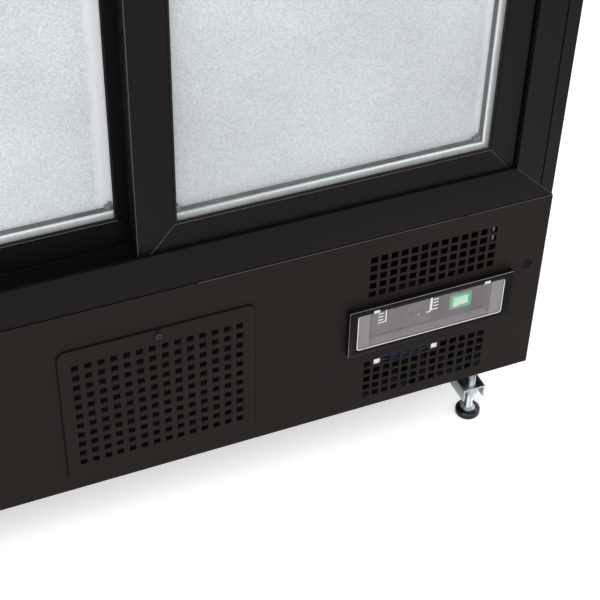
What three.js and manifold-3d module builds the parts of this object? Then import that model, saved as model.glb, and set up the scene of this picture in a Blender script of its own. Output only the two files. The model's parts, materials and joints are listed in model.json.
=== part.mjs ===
// Two-door under counter fridge with sliding glass doors: a foamed cabinet over a machine
// bay, a mitred door surround with two tracks, a lower front panel with ventilation grilles
// and a flapped controller, on two runner rails with levelling feet.
// Millimetres, +Z up, front towards -Y, origin on the floor under the middle of the box.
import * as THREE from "three";
import { mergeVertices } from "three/addons/utils/BufferGeometryUtils.js";
import Module from "manifold-3d";

// ---- Driving dimensions ------------------------------------------------------------------
const WIDTH = 900; // over the front panel
const DEPTH = 520; // panel plane to the back of the side panels
const HEIGHT = 900; // floor to worktop
const GAP = 0.3; // assembly gap between touching pieces
const SHEET = 1.2; // folded sheet steel of panel, worktop and tray
const SKIN = 1; // side, back and bay sheets
const EDGE_INSET = 1; // side skins and surround stand in from the panel edge

const PANEL_BOTTOM = 86; // floor to the lower edge of the front panel
const PANEL_HEIGHT = 246;
const PANEL_PROUD = 1; // panel face in front of the surround face
const PANEL_RETURN = 20; // folded edge at each side
const PANEL_LIP = 12; // folded edge at top and bottom
const TOP_TRAY = 20; // height of the folded worktop

const RAIL_HEIGHT = 46.5; // surround rails, bottom and top
const STILE_WIDTH = 48.5; // surround stiles
const SURROUND_LIP = 4; // front and back lips of the tracks
const TRACK_RIB = 4; // between the two tracks
const TRACK_CLEAR = 0.5; // each side of a door in its track
const BOTTOM_TRACK = 6.3; // depth of the lower track channel
const TOP_TRACK = 14; // deeper, so that a door lifts out
const STILE_GROOVE_AT = 16; // from the outer edge
const STILE_GROOVE = 1.6;
const FRAME_WALL = 2; // wall of the hollow extrusions

const DOOR_OVERLAP = 28; // of the two closed doors
const DOOR_RAIL = 35;
const DOOR_STILE = 30;
const MEETING_STILE = 39; // the wider stile beside the other door
const DOOR_THICKNESS = 21;
const DOOR_END_GAP = 2.5; // closed door to surround stile
const DOOR_TOP_ENGAGE = 7; // door inside the top channel
const GLAZING_POCKET = 12; // how deep the glass sits in the frame
const PANE = 4;
const SPACER_SHOWS = 6; // spacer bar past the frame's inner edge
const SPACER_INSET = 3; // spacer bar from the pane's edge
const BRUSH_WIDTH = 7;

const INSULATION = 44; // foam between skins and liner
const LINER_WALL = 1.5;
const SHELF_NAMES = ["lower", "upper"];
const SHELF_THICKNESS = 5;
const SHELF_SETBACK = 80; // shelf front behind the surround
const SHELF_BAR = 4;
const SHELF_PITCH = 25;
const SHELF_RIM = 8;
const LEDGE = 9; // moulded shelf ledge on the liner wall
const LEDGE_HEIGHT = 8;

const HOLE = 8; // square ventilation holes
const SIDE_GRILLE = { columns: 13, rows: 5, pitch: 11.8, fromEdge: 138.6, levels: [43.3, 193.2] };
const COVER = { width: 211, height: 184.5, bottom: 15.5, radius: 9, thickness: 2.2 };
const COVER_GRILLE = { columns: 14, rows: 11, pitch: 13.55, level: 108.5 };
const COVER_HOLE = { width: 196, bottom: 32, height: 152 }; // opening behind the cover
const COVER_NOTCH = { width: 6, depth: 3 };
const SCREW = { fromTop: 7.5, head: 3.6, headHeight: 1.8, shank: 1.7, length: 7, slot: 0.9 };
const PLUG = { fromEdge: 19.4, level: 155, radius: 6.2, flange: 7.4, depth: 6 };

const BEZEL = { width: 197.5, height: 64, level: 123.5, fromEdge: 138.8, proud: 8.5 };
const RECESS = { width: 148, height: 46, floor: 3.5, wall: 2 }; // floor: behind panel plane
const FLAP = { width: 178.5, height: 49.5, thickness: 1.6, drop: 0.7, clear: 0.5 };
const FLAP_TAB = { width: 8, rise: 3.6, from: 67, swing: 2.2 };
const THERMOSTAT = { width: 70, height: 28, at: -32, depth: 38, face: 3 };
const DISPLAY = { width: 34, height: 15, depth: 0.8, at: -12 };
const BUTTON = { width: 8, height: 6, proud: 1.4, travel: 1, clear: 0.4, at: [13, 25] };
const ROCKER = { width: 25, height: 19, at: 41, rim: 2.5, tilt: 7, proud: 2.6, depth: 20 };

const RUNNER = { width: 28, height: 17, sheet: 2, top: 48, fromEdge: 56.8, setBack: 12.5 };
const FOOT = { setBack: 22.5, pad: 15.8, padHeight: 10, stud: 5, above: 22, nutFlats: 17 };
const NUT_HEIGHT = 9;
const FOOT_RISE = 14; // how far a foot screws up from rest

const TRAY_SETBACK = 40;
const TRAY_UPSTAND = 60;
const CONDENSER = { width: 210, depth: 44, height: 190, setBack: 32, fins: 14, fin: 2 };
const FAN = { radius: 78, hub: 17, blades: 5, depth: 20, chord: 34, pitch: 0.5, clear: 4 };
const SHROUD = { depth: 34, wall: 2.5, motor: 22, motorDepth: 30, arm: 7, armDepth: 8, root: 2 };
const COMPRESSOR = { radius: 72, height: 165, dome: 50, bottom: 20, fromEdge: 190, fromBack: 150 };
const COMPRESSOR_BASE = { width: 190, bottom: 14, top: 24, mount: 9, mountHeight: 15, inset: 12 };
const DRAIN = { width: 170, depth: 130, height: 30, wall: 2, fromEdge: 120, fromBack: 150 };
const EVAPORATOR = { width: 330, depth: 70, height: 70, fins: 14, fin: 2 };
const DUCT = { width: 520, depth: 110, height: 88, wall: 2, margin: 20, motorGap: 2, coilGap: 25 };
const COLD_FAN = { radius: 34, hub: 11, blades: 5, depth: 12, chord: 20, pitch: 0.5, clear: 3 };
const LAMP = { length: 620, width: 14, height: 9, chamfer: 2.5, setBack: 12 };
const GLAND = { radius: 9, flange: 13, length: 16, proud: 4, fromEdge: 90, level: 40 };
const BACK_INSET = 6;
const LOUVRE = { width: 60, height: 6, columns: 6, rows: 6, pitchX: 74, pitchZ: 22, level: 120 };

// ---- Planes that follow from them --------------------------------------------------------
const FRONT = (BEZEL.proud - DEPTH) / 2; // the surround's face
const BACK = FRONT + DEPTH;
const HALF = WIDTH / 2;
const OUTER = HALF - EDGE_INSET; // outer face of side skins and surround
const PANEL_TOP = PANEL_BOTTOM + PANEL_HEIGHT;
const SURROUND_BOTTOM = PANEL_TOP + GAP;
const SURROUND_TOP = HEIGHT - TOP_TRAY - GAP;
const OPENING_BOTTOM = SURROUND_BOTTOM + RAIL_HEIGHT;
const OPENING_TOP = SURROUND_TOP - RAIL_HEIGHT;
const OPENING_HALF = OUTER - STILE_WIDTH;
const TRACK = DOOR_THICKNESS + 2 * TRACK_CLEAR;
const TRACK_PITCH = TRACK + TRACK_RIB; // front door to rear door
const SURROUND_DEPTH = 2 * SURROUND_LIP + 2 * TRACK + TRACK_RIB;
const DOOR_WIDTH = OPENING_HALF - DOOR_END_GAP + DOOR_OVERLAP / 2;
const MITRED_WIDTH = DOOR_WIDTH - MEETING_STILE + DOOR_STILE;
const DOOR_BOTTOM = OPENING_BOTTOM - BOTTOM_TRACK + TRACK_CLEAR;
const DOOR_TOP = OPENING_TOP + DOOR_TOP_ENGAGE;
const DOOR_HEIGHT = DOOR_TOP - DOOR_BOTTOM;
const FRONT_DOOR_Y = FRONT + SURROUND_LIP + TRACK_CLEAR;
const REAR_DOOR_Y = FRONT_DOOR_Y + TRACK_PITCH;
const BODY_FRONT = FRONT + SURROUND_DEPTH + GAP; // where the foamed body starts
const BACK_SHEET = BACK - BACK_INSET; // outer face of the back panel
const BODY_BACK = BACK_SHEET - SKIN - GAP;
const BODY_HALF = OUTER - SKIN - GAP;
const BAY_TOP = PANEL_TOP; // underside of the sheet over the machine bay
const FOAM_BOTTOM = BAY_TOP + SKIN + GAP;
const FOAM_TOP = HEIGHT - SHEET - GAP;
const LINER = {
  half: BODY_HALF - INSULATION,
  bottom: FOAM_BOTTOM + INSULATION - BOTTOM_TRACK,
  top: OPENING_TOP + BOTTOM_TRACK,
  back: BODY_BACK - INSULATION,
};
const ROOM = {
  half: LINER.half - LINER_WALL,
  bottom: LINER.bottom + LINER_WALL,
  top: LINER.top - LINER_WALL,
  back: LINER.back - LINER_WALL,
};
const TRAY_BOTTOM = RUNNER.top + GAP;
const TRAY_TOP = TRAY_BOTTOM + SHEET;
const PANEL_FACE = FRONT - PANEL_PROUD;
const PANEL_BACK = PANEL_FACE + SHEET;

// ---- Materials ---------------------------------------------------------------------------
const finish = (color, roughness, metalness = 0, extra = {}) => ({ color, roughness, metalness, ...extra });
const BLACK_PAINT = finish(0x2a2726, 0.5, 0.1);
const BLACK_ALUMINIUM = finish(0x272424, 0.45, 0.2);
const BLACK_PLASTIC = finish(0x151415, 0.25);
const WHITE_PLASTIC = finish(0xe6e9ea, 0.5);
const FOAM = finish(0xd9c98c, 0.95);
const ZINC = finish(0xc4cbd0, 0.35, 0.9);
const ALUMINIUM = finish(0xdadcdd, 0.4, 0.8);
const GALVANISED = finish(0xa9aeb2, 0.5, 0.8);
const GLASS = finish(0xdfe6e8, 0.15, 0, { transparent: true, opacity: 0.4 });
const CLEAR = finish(0xc9c6cc, 0.1, 0, { transparent: true, opacity: 0.35 });
const GREEN = finish(0x4fc98a, 0.3);
const RUBBER = finish(0x101011, 0.8);

// ---- Helpers -----------------------------------------------------------------------------
const SNAP = 1024; // grid steps in a millimetre
const wasm = await Module();
wasm.setup();

// A box from its lowest to its highest corner.
function block(x0, x1, y0, y1, z0, z1) {
  return new THREE.BoxGeometry(x1 - x0, y1 - y0, z1 - z0).translate(
    (x0 + x1) / 2,
    (y0 + y1) / 2,
    (z0 + z1) / 2,
  );
}

// A closed geometry as a manifold-3d solid. Its vertices are snapped to a fine grid that 32-bit
// numbers hold exactly, so that faces in one plane stay in one plane.
function solid(geometry) {
  const position = geometry.getAttribute("position").clone();
  for (let i = 0; i < position.array.length; i++)
    position.array[i] = Math.round(position.array[i] * SNAP) / SNAP;
  const bare = new THREE.BufferGeometry().setAttribute("position", position);
  bare.setIndex(geometry.index);
  const merged = mergeVertices(bare, 1 / SNAP / 4);
  return new wasm.Manifold(
    new wasm.Mesh({
      numProp: 3,
      vertProperties: new Float32Array(merged.attributes.position.array),
      triVerts: new Uint32Array(merged.index.array),
    }),
  );
}

function geometryOf(made) {
  const mesh = made.getMesh();
  return new THREE.BufferGeometry()
    .setAttribute("position", new THREE.BufferAttribute(mesh.vertProperties, 3))
    .setIndex(new THREE.BufferAttribute(mesh.triVerts, 1));
}

const join = (...pieces) => geometryOf(pieces.map(solid).reduce((a, b) => a.add(b)));
const cut = (from, ...tools) => geometryOf(tools.map(solid).reduce((a, b) => a.subtract(b), solid(from)));

function polygon(points) {
  return new THREE.Shape(points.map(([x, y]) => new THREE.Vector2(x, y)));
}

// A rectangle about a centre, with round corners if a radius is given.
function rectangle(cx, cy, width, height, radius = 0) {
  const [x0, x1, y0, y1] = [cx - width / 2, cx + width / 2, cy - height / 2, cy + height / 2];
  if (!radius) return polygon([[x0, y0], [x1, y0], [x1, y1], [x0, y1]]);
  const shape = new THREE.Shape();
  shape.absarc(x1 - radius, y0 + radius, radius, -Math.PI / 2, 0);
  shape.absarc(x1 - radius, y1 - radius, radius, 0, Math.PI / 2);
  shape.absarc(x0 + radius, y1 - radius, radius, Math.PI / 2, Math.PI);
  shape.absarc(x0 + radius, y0 + radius, radius, Math.PI, 1.5 * Math.PI);
  return shape;
}

function circle(cx, cy, radius, sides = 16) {
  const corners = Array.from({ length: sides }, (_, i) => (i * 2 * Math.PI) / sides);
  return polygon(corners.map((angle) => [cx + radius * Math.cos(angle), cy + radius * Math.sin(angle)]));
}

function extrude(shape, depth, curveSegments = 4) {
  return new THREE.ExtrudeGeometry(shape, { depth, bevelEnabled: false, curveSegments });
}

// A plate facing the front: the shape is drawn in X and Z and runs back from y0.
function frontPlate(shape, y0, depth, curveSegments) {
  return extrude(shape, depth, curveSegments).rotateX(Math.PI / 2).translate(0, y0 + depth, 0);
}

// A profile drawn in Y and Z, run along X from x0.
function alongX(shape, x0, length) {
  const turn = new THREE.Matrix4().makeBasis(
    new THREE.Vector3(0, 1, 0),
    new THREE.Vector3(0, 0, 1),
    new THREE.Vector3(1, 0, 0),
  );
  return extrude(shape, length).applyMatrix4(turn).translate(x0, 0, 0);
}

// A round bar along Y or Z, from its start.
function bar(axis, radius, length, x, y, z, sides = 20) {
  const geometry = new THREE.CylinderGeometry(radius, radius, length, sides).translate(0, length / 2, 0);
  if (axis === "z") geometry.rotateX(Math.PI / 2);
  return geometry.translate(x, y, z);
}

// The centres of a grid of holes about (cx, cz).
function gridCentres({ columns, rows, pitch, pitchX = pitch, pitchZ = pitch }, cx, cz) {
  const centres = [];
  for (let row = 0; row < rows; row++)
    for (let column = 0; column < columns; column++)
      centres.push([cx + (column - (columns - 1) / 2) * pitchX, cz + (row - (rows - 1) / 2) * pitchZ]);
  return centres;
}

// Cutters for a grid of rectangular holes through a plate that faces the front.
function holes(grid, cx, cz, y0, thickness, width = HOLE, height = HOLE) {
  return gridCentres(grid, cx, cz).map(([x, z]) =>
    block(x - width / 2, x + width / 2, y0 - 1, y0 + thickness + 1, z - height / 2, z + height / 2),
  );
}

const fridge = new THREE.Group();

// Adds one named piece to the fridge, or to a group of it.
function add(name, geometry, material, into = fridge) {
  const mesh = new THREE.Mesh(geometry, new THREE.MeshStandardMaterial(material));
  mesh.name = name;
  into.add(mesh);
  return mesh;
}

// A frame member with mitred ends, lying along X about the middle. Its profile is drawn with
// the height in from the outer edge as X and the depth as Y; slope is the mitre's run per height.
// A strip of the profile outside that edge, at a negative height, has its ends cut square.
function mitredMember(profile, length, slope, strip) {
  const geometry = alongX(profile, 0, 1);
  const position = geometry.getAttribute("position");
  for (let i = 0; i < position.count; i++) {
    const depth = position.getZ(i);
    const height = position.getY(i);
    const end = length / 2 - slope * height;
    position.setXYZ(i, position.getX(i) > 0.5 ? end : -end, depth, height);
  }
  // Swapping Y and Z mirrors the piece, so each triangle is turned round.
  for (let i = 0; i < position.count; i += 3) {
    const a = new THREE.Vector3().fromBufferAttribute(position, i + 1);
    const b = new THREE.Vector3().fromBufferAttribute(position, i + 2);
    position.setXYZ(i + 1, b.x, b.y, b.z);
    position.setXYZ(i + 2, a.x, a.y, a.z);
  }
  geometry.deleteAttribute("normal");
  geometry.deleteAttribute("uv");
  if (!strip) return geometry;
  const past = [-1, 1].map((end) => [(end * length) / 2, end * length].sort((a, b) => a - b));
  return cut(geometry, ...past.map((x) => block(...x, -length, length, -2 * strip, strip)));
}

// Four mitred members about an opening. profiles: one for each side; the box is the outside, less
// any strip that a profile has outside its edge.
function mitredFrame(prefix, group, profiles, width, height, railWidth, stileWidth, material) {
  const members = [
    ["bottom", profiles.bottom, width, stileWidth / railWidth, 0, [0, 0]],
    ["top", profiles.top, width, stileWidth / railWidth, Math.PI, [0, height]],
    ["left", profiles.left, height, railWidth / stileWidth, Math.PI / 2, [-width / 2, height / 2]],
    ["right", profiles.right, height, railWidth / stileWidth, -Math.PI / 2, [width / 2, height / 2]],
  ];
  for (const [side, profile, length, slope, turn, [x, z]] of members) {
    const strip = -Math.min(...profile.getPoints().map((point) => point.x));
    const geometry = mitredMember(profile, length - 2 * GAP, slope, strip);
    const mesh = add(prefix + side, geometry, material, group);
    mesh.rotation.y = turn;
    mesh.position.set(x, 0, z);
  }
}

// ---- Cabinet shell -----------------------------------------------------------------------
function worktop() {
  const outer = block(-HALF, HALF, FRONT, BACK, HEIGHT - TOP_TRAY, HEIGHT);
  const inner = block(-HALF + SHEET, HALF - SHEET, FRONT + SHEET, BACK - SHEET, 0, HEIGHT - SHEET);
  add("top_panel", cut(outer, inner), BLACK_PAINT);
}

function sidePanels() {
  const lowFront = PANEL_FACE + PANEL_RETURN + GAP;
  const outline = polygon([
    [lowFront, PANEL_BOTTOM],
    [BACK, PANEL_BOTTOM],
    [BACK, SURROUND_TOP],
    [BODY_FRONT, SURROUND_TOP],
    [BODY_FRONT, PANEL_TOP],
    [lowFront, PANEL_TOP],
  ]);
  add("side_panel_left", alongX(outline, -OUTER, SKIN), BLACK_PAINT);
  add("side_panel_right", alongX(outline, OUTER - SKIN, SKIN), BLACK_PAINT);
}

function backPanel() {
  const middle = (PANEL_BOTTOM + FOAM_TOP) / 2;
  const shape = rectangle(0, middle, 2 * BODY_HALF, FOAM_TOP - PANEL_BOTTOM);
  shape.holes.push(circle(glandX(), PANEL_BOTTOM + GLAND.level, GLAND.radius + GAP));
  const y0 = BACK_SHEET - SKIN;
  const slots = holes(LOUVRE, 0, PANEL_BOTTOM + LOUVRE.level, y0, SKIN, LOUVRE.width, LOUVRE.height);
  add("back_panel", cut(frontPlate(shape, y0, SKIN), ...slots), BLACK_PAINT);
}

const glandX = () => HALF - GLAND.fromEdge;

function cordGland() {
  const level = PANEL_BOTTOM + GLAND.level;
  const outside = BACK_SHEET + GAP;
  const body = bar("y", GLAND.radius, GLAND.length, glandX(), outside - GLAND.length + 1, level);
  const flange = bar("y", GLAND.flange, GLAND.proud, glandX(), outside, level);
  const bore = bar("y", GLAND.radius / 2, GLAND.length * 2, glandX(), outside - GLAND.length, level);
  add("cord_gland", cut(join(body, flange), bore), RUBBER);
}

function foamedBody() {
  const ceiling = [BAY_TOP, BAY_TOP + SKIN];
  add("bay_ceiling", block(-BODY_HALF, BODY_HALF, BODY_FRONT, BODY_BACK, ...ceiling), GALVANISED);
  const outer = block(-BODY_HALF, BODY_HALF, BODY_FRONT, BODY_BACK, FOAM_BOTTOM, FOAM_TOP);
  const { half, bottom, top, back } = LINER;
  const room = block(-half - GAP, half + GAP, FRONT, back + GAP, bottom - GAP, top + GAP);
  add("foam_body", cut(outer, room), FOAM);
}

function innerLiner() {
  const { half, bottom, top, back } = LINER;
  const outer = block(-half, half, BODY_FRONT, back, bottom, top);
  const room = block(-ROOM.half, ROOM.half, FRONT, ROOM.back, ROOM.bottom, ROOM.top);
  const ledges = [];
  for (const side of [-1, 1])
    for (const level of shelfLevels()) {
      const [a, b] = [side * (ROOM.half - LEDGE), side * (ROOM.half + LINER_WALL / 2)];
      const x = [Math.min(a, b), Math.max(a, b)];
      const y = [shelfFront(), ROOM.back + LINER_WALL / 2];
      ledges.push(block(...x, ...y, level - GAP - LEDGE_HEIGHT, level - GAP));
    }
  add("inner_liner", join(cut(outer, room), ...ledges), WHITE_PLASTIC);
}

const shelfFront = () => BODY_FRONT + SHELF_SETBACK;

// Undersides of the shelves, evenly between the liner floor and the cooling unit.
function shelfLevels() {
  const room = ROOM.top - GAP - DUCT.height - ROOM.bottom;
  return SHELF_NAMES.map((_, i) => ROOM.bottom + ((i + 1) * room) / (SHELF_NAMES.length + 1));
}

function shelves() {
  const half = ROOM.half - 2 * GAP;
  const front = shelfFront();
  const count = Math.floor((2 * half - 2 * SHELF_RIM) / SHELF_PITCH);
  const bay = (2 * half - 2 * SHELF_RIM + SHELF_BAR) / count;
  const back = ROOM.back - GAP;
  const y = [front + SHELF_RIM, back - SHELF_RIM];
  const slots = [...Array(count)].map((_, i) => {
    const x = -half + SHELF_RIM + i * bay;
    return block(x, x + bay - SHELF_BAR, ...y, -1, SHELF_THICKNESS + 1);
  });
  const rack = cut(block(-half, half, front, back, 0, SHELF_THICKNESS), ...slots);
  shelfLevels().forEach((level, i) =>
    add("shelf_" + SHELF_NAMES[i], rack.clone().translate(0, 0, level), ZINC),
  );
}

// ---- Door surround and doors -------------------------------------------------------------
// The outline of a surround rail, with the two door tracks, and a chamber inside.
function railProfile(track) {
  const floor = RAIL_HEIGHT - track;
  const first = SURROUND_LIP;
  const second = first + TRACK_PITCH;
  const shape = polygon([
    [0, 0],
    [RAIL_HEIGHT, 0],
    [RAIL_HEIGHT, first],
    [floor, first],
    [floor, first + TRACK],
    [RAIL_HEIGHT, first + TRACK],
    [RAIL_HEIGHT, second],
    [floor, second],
    [floor, second + TRACK],
    [RAIL_HEIGHT, second + TRACK],
    [RAIL_HEIGHT, SURROUND_DEPTH],
    [0, SURROUND_DEPTH],
  ]);
  const chamber = floor - 2 * FRAME_WALL;
  shape.holes.push(rectangle(floor / 2, SURROUND_DEPTH / 2, chamber, SURROUND_DEPTH - 2 * FRAME_WALL));
  return shape;
}

function stileProfile() {
  const [g0, g1] = [STILE_GROOVE_AT - STILE_GROOVE / 2, STILE_GROOVE_AT + STILE_GROOVE / 2];
  const shape = polygon([
    [0, 0],
    [g0, 0],
    [g0, STILE_GROOVE],
    [g1, STILE_GROOVE],
    [g1, 0],
    [STILE_WIDTH, 0],
    [STILE_WIDTH, SURROUND_DEPTH],
    [0, SURROUND_DEPTH],
  ]);
  const wall = STILE_GROOVE + FRAME_WALL;
  shape.holes.push(
    rectangle(STILE_WIDTH / 2, SURROUND_DEPTH / 2, STILE_WIDTH - 2 * wall, SURROUND_DEPTH - 2 * wall),
  );
  return shape;
}

function surround() {
  const group = new THREE.Group();
  group.position.set(0, FRONT, SURROUND_BOTTOM);
  const [bottom, top, stile] = [railProfile(BOTTOM_TRACK), railProfile(TOP_TRACK), stileProfile()];
  const profiles = { bottom, top, left: stile, right: stile };
  const height = SURROUND_TOP - SURROUND_BOTTOM;
  mitredFrame("surround_", group, profiles, 2 * OUTER, height, RAIL_HEIGHT, STILE_WIDTH, BLACK_ALUMINIUM);
  fridge.add(group);
}

// The outline of a door's rail or stile, with a strip of it outside its mitred corner.
function doorProfile(width, strip = 0) {
  const edge = 1; // chamfer on the outer corners
  const pocket = width - GLAZING_POCKET;
  const [thick, inner] = [DOOR_THICKNESS, DOOR_THICKNESS - FRAME_WALL];
  const shape = polygon([
    [-strip, edge],
    [edge - strip, 0],
    [width - edge, 0],
    [width, edge],
    [width, FRAME_WALL],
    [pocket, FRAME_WALL],
    [pocket, inner],
    [width, inner],
    [width, thick],
    [-strip, thick],
  ]);
  const chamber = pocket + strip - 2 * FRAME_WALL;
  shape.holes.push(rectangle((pocket - strip) / 2, thick / 2, chamber, thick - 2 * FRAME_WALL));
  return shape;
}

// Panes and spacer of one door. X is about the middle of the mitred frame, Z from the door's bottom.
function glazing(name, group) {
  const inset = GLAZING_POCKET - GAP;
  const opening = [MITRED_WIDTH - 2 * DOOR_STILE, DOOR_HEIGHT - 2 * DOOR_RAIL];
  const size = opening.map((length) => length + 2 * inset);
  const pane = rectangle(0, DOOR_HEIGHT / 2, ...size);
  const outerY = FRAME_WALL + GAP;
  const innerY = DOOR_THICKNESS - FRAME_WALL - GAP - PANE;
  add(name + "_outer_pane", frontPlate(pane, outerY, PANE), GLASS, group);
  add(name + "_inner_pane", frontPlate(pane, innerY, PANE), GLASS, group);
  const bar = rectangle(0, DOOR_HEIGHT / 2, ...size.map((length) => length - 2 * SPACER_INSET));
  bar.holes.push(rectangle(0, DOOR_HEIGHT / 2, ...opening.map((length) => length - 2 * SPACER_SHOWS)));
  const spacerY = outerY + PANE + GAP;
  add(name + "_glass_spacer", frontPlate(bar, spacerY, innerY - GAP - spacerY), ALUMINIUM, group);
}

function door(name, side, y) {
  const group = new THREE.Group();
  group.position.set(side * (OPENING_HALF - DOOR_END_GAP - MITRED_WIDTH / 2), y, DOOR_BOTTOM);
  const rail = doorProfile(DOOR_RAIL);
  const stiles = [doorProfile(DOOR_STILE, MEETING_STILE - DOOR_STILE), doorProfile(DOOR_STILE)];
  const [left, right] = side > 0 ? stiles : stiles.reverse();
  const profiles = { bottom: rail, top: rail, left, right };
  const size = [MITRED_WIDTH, DOOR_HEIGHT, DOOR_RAIL, DOOR_STILE];
  mitredFrame(name + "_frame_", group, profiles, ...size, BLACK_ALUMINIUM);
  glazing(name, group);
  fridge.add(group);
}

// The brush on the rear door's meeting stile, which closes the gap to the front door.
function doorBrush() {
  const right = -(OPENING_HALF - DOOR_END_GAP) + DOOR_WIDTH - 2 * BRUSH_WIDTH;
  const y = [FRONT_DOOR_Y + DOOR_THICKNESS + TRACK_CLEAR, REAR_DOOR_Y - GAP];
  const z = [OPENING_BOTTOM + BRUSH_WIDTH, OPENING_TOP - BRUSH_WIDTH];
  add("door_brush", block(right, right + BRUSH_WIDTH, ...y, ...z), RUBBER);
}

// ---- Lower front -------------------------------------------------------------------------
const fromRight = (distance) => HALF - distance;
const panelLevel = (height) => PANEL_BOTTOM + height;

// A cutter for a rectangular opening through the front panel.
function panelOpening(x, z, width, height) {
  const y = [PANEL_FACE - 1, PANEL_BACK + 1];
  return block(x - width / 2, x + width / 2, ...y, z - height / 2, z + height / 2);
}

function frontPanel() {
  const [z0, z1] = [PANEL_BOTTOM, PANEL_TOP - GAP];
  const [y0, y1] = [PANEL_FACE, PANEL_FACE + PANEL_RETURN];
  const inside = HALF - SHEET;
  const folded = cut(
    block(-HALF, HALF, y0, y1, z0, z1),
    block(-inside, inside, PANEL_BACK, y1 + 1, z0 + SHEET, z1 - SHEET),
    block(-inside, inside, y0 + PANEL_LIP, y1 + 1, z0 - 1, z1 + 1),
  );
  const grilles = SIDE_GRILLE.levels.flatMap((level) =>
    holes(SIDE_GRILLE, fromRight(SIDE_GRILLE.fromEdge), panelLevel(level), y0, SHEET),
  );
  const recess = [RECESS.width + 2 * RECESS.wall + 2 * GAP, RECESS.height + 2 * RECESS.wall + 2 * GAP];
  const coverLevel = panelLevel(COVER_HOLE.bottom + COVER_HOLE.height / 2);
  const openings = [
    panelOpening(0, coverLevel, COVER_HOLE.width, COVER_HOLE.height),
    panelOpening(fromRight(BEZEL.fromEdge), panelLevel(BEZEL.level), ...recess),
    bar("y", PLUG.radius + GAP, 4, fromRight(PLUG.fromEdge), y0 - 1, panelLevel(PLUG.level), 24),
    bar("y", SCREW.shank + GAP, 4, 0, y0 - 1, screwLevel(), 16),
  ];
  add("front_panel", cut(folded, ...openings, ...grilles), BLACK_PAINT);
}

const coverTop = () => panelLevel(COVER.bottom + COVER.height);
const screwLevel = () => coverTop() - SCREW.fromTop;

function accessCover() {
  const middle = panelLevel(COVER.bottom + COVER.height / 2);
  const face = rectangle(0, middle, COVER.width, COVER.height, COVER.radius);
  face.holes.push(circle(0, screwLevel(), SCREW.shank + GAP));
  const y0 = PANEL_FACE - GAP - COVER.thickness;
  const [w, d] = [COVER_NOTCH.width / 2, COVER_NOTCH.depth];
  const notch = block(-w, w, y0 - 1, PANEL_FACE, coverTop() - d, coverTop() + 1);
  const grille = holes(COVER_GRILLE, 0, panelLevel(COVER_GRILLE.level), y0, COVER.thickness);
  add("access_cover", cut(frontPlate(face, y0, COVER.thickness), notch, ...grille), BLACK_PAINT);
}

function accessScrew() {
  const face = PANEL_FACE - GAP - COVER.thickness - GAP;
  const head = bar("y", SCREW.head, SCREW.headHeight, 0, face - SCREW.headHeight, screwLevel());
  const shank = bar("y", SCREW.shank, SCREW.length + 1, 0, face - 1, screwLevel(), 12);
  const [arm, half, depth] = [SCREW.head * 0.6, SCREW.slot / 2, SCREW.headHeight / 2];
  const y = [face - SCREW.headHeight - 1, face - SCREW.headHeight + depth];
  const [z, s] = [screwLevel(), half];
  const cross = [block(-arm, arm, ...y, z - s, z + s), block(-s, s, ...y, z - arm, z + arm)];
  add("access_screw", cut(join(head, shank), ...cross), BLACK_PAINT);
}

function holePlug() {
  const [x, z] = [fromRight(PLUG.fromEdge), panelLevel(PLUG.level)];
  const stem = bar("y", PLUG.radius, PLUG.depth, x, PANEL_FACE + SHEET / 2, z, 16);
  const flange = bar("y", PLUG.flange, SHEET, x, PANEL_BACK + GAP, z, 16);
  add("hole_plug", join(stem, flange), BLACK_PLASTIC);
}

// ---- Controller --------------------------------------------------------------------------
// Everything here is drawn about the middle of the bezel, with Y from the surround's face.
const CONTROLLER = new THREE.Group();
CONTROLLER.position.set(fromRight(BEZEL.fromEdge), FRONT, panelLevel(BEZEL.level));
fridge.add(CONTROLLER);
const FLAP_TOP = FLAP.height / 2;
const FLAP_BACK = -BEZEL.proud + FLAP.thickness + GAP;
const FLAP_AXIS_Z = FLAP_TOP + FLAP_TAB.rise / 2;
const FLAP_AXIS_Y = FLAP_BACK - FLAP.thickness / 2;

function controllerBezel() {
  const [w, h] = [BEZEL.width / 2, BEZEL.height / 2];
  const [rw, rh] = [RECESS.width / 2, RECESS.height / 2];
  const boxEnd = RECESS.floor + FRAME_WALL;
  const [ow, oh] = [rw + RECESS.wall, rh + RECESS.wall];
  const body = join(
    block(-w, w, -BEZEL.proud, -PANEL_PROUD - GAP, -h, h),
    block(-ow, ow, -BEZEL.proud + 1, boxEnd, -oh, oh),
  );
  const [fw, fh] = [FLAP.width / 2 + FLAP.clear, FLAP.height / 2 + FLAP.clear];
  const cuts = [
    block(-fw, fw, -BEZEL.proud - 1, FLAP_BACK + FLAP.clear, -fh, fh),
    block(-rw, rw, -BEZEL.proud - 1, RECESS.floor, -rh, rh),
  ];
  for (const side of [-1, 1]) {
    const x = side * FLAP_TAB.from;
    const half = FLAP_TAB.width / 2 + FLAP.clear;
    const y = [-BEZEL.proud - 1, FLAP_AXIS_Y + FLAP_TAB.swing];
    cuts.push(block(x - half, x + half, ...y, FLAP_TOP - 1, FLAP_AXIS_Z + FLAP_TAB.swing));
  }
  cuts.push(cutout(THERMOSTAT), cutout(ROCKER));
  add("controller_bezel", cut(body, ...cuts), BLACK_PLASTIC, CONTROLLER);
}

// The hole in the recess floor for a snap-in module.
function cutout({ at, width, height }) {
  const [w, h] = [width / 2 + GAP, height / 2 + GAP];
  return block(at - w, at + w, RECESS.floor - 1, RECESS.floor + FRAME_WALL + 1, -h, h);
}

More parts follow.
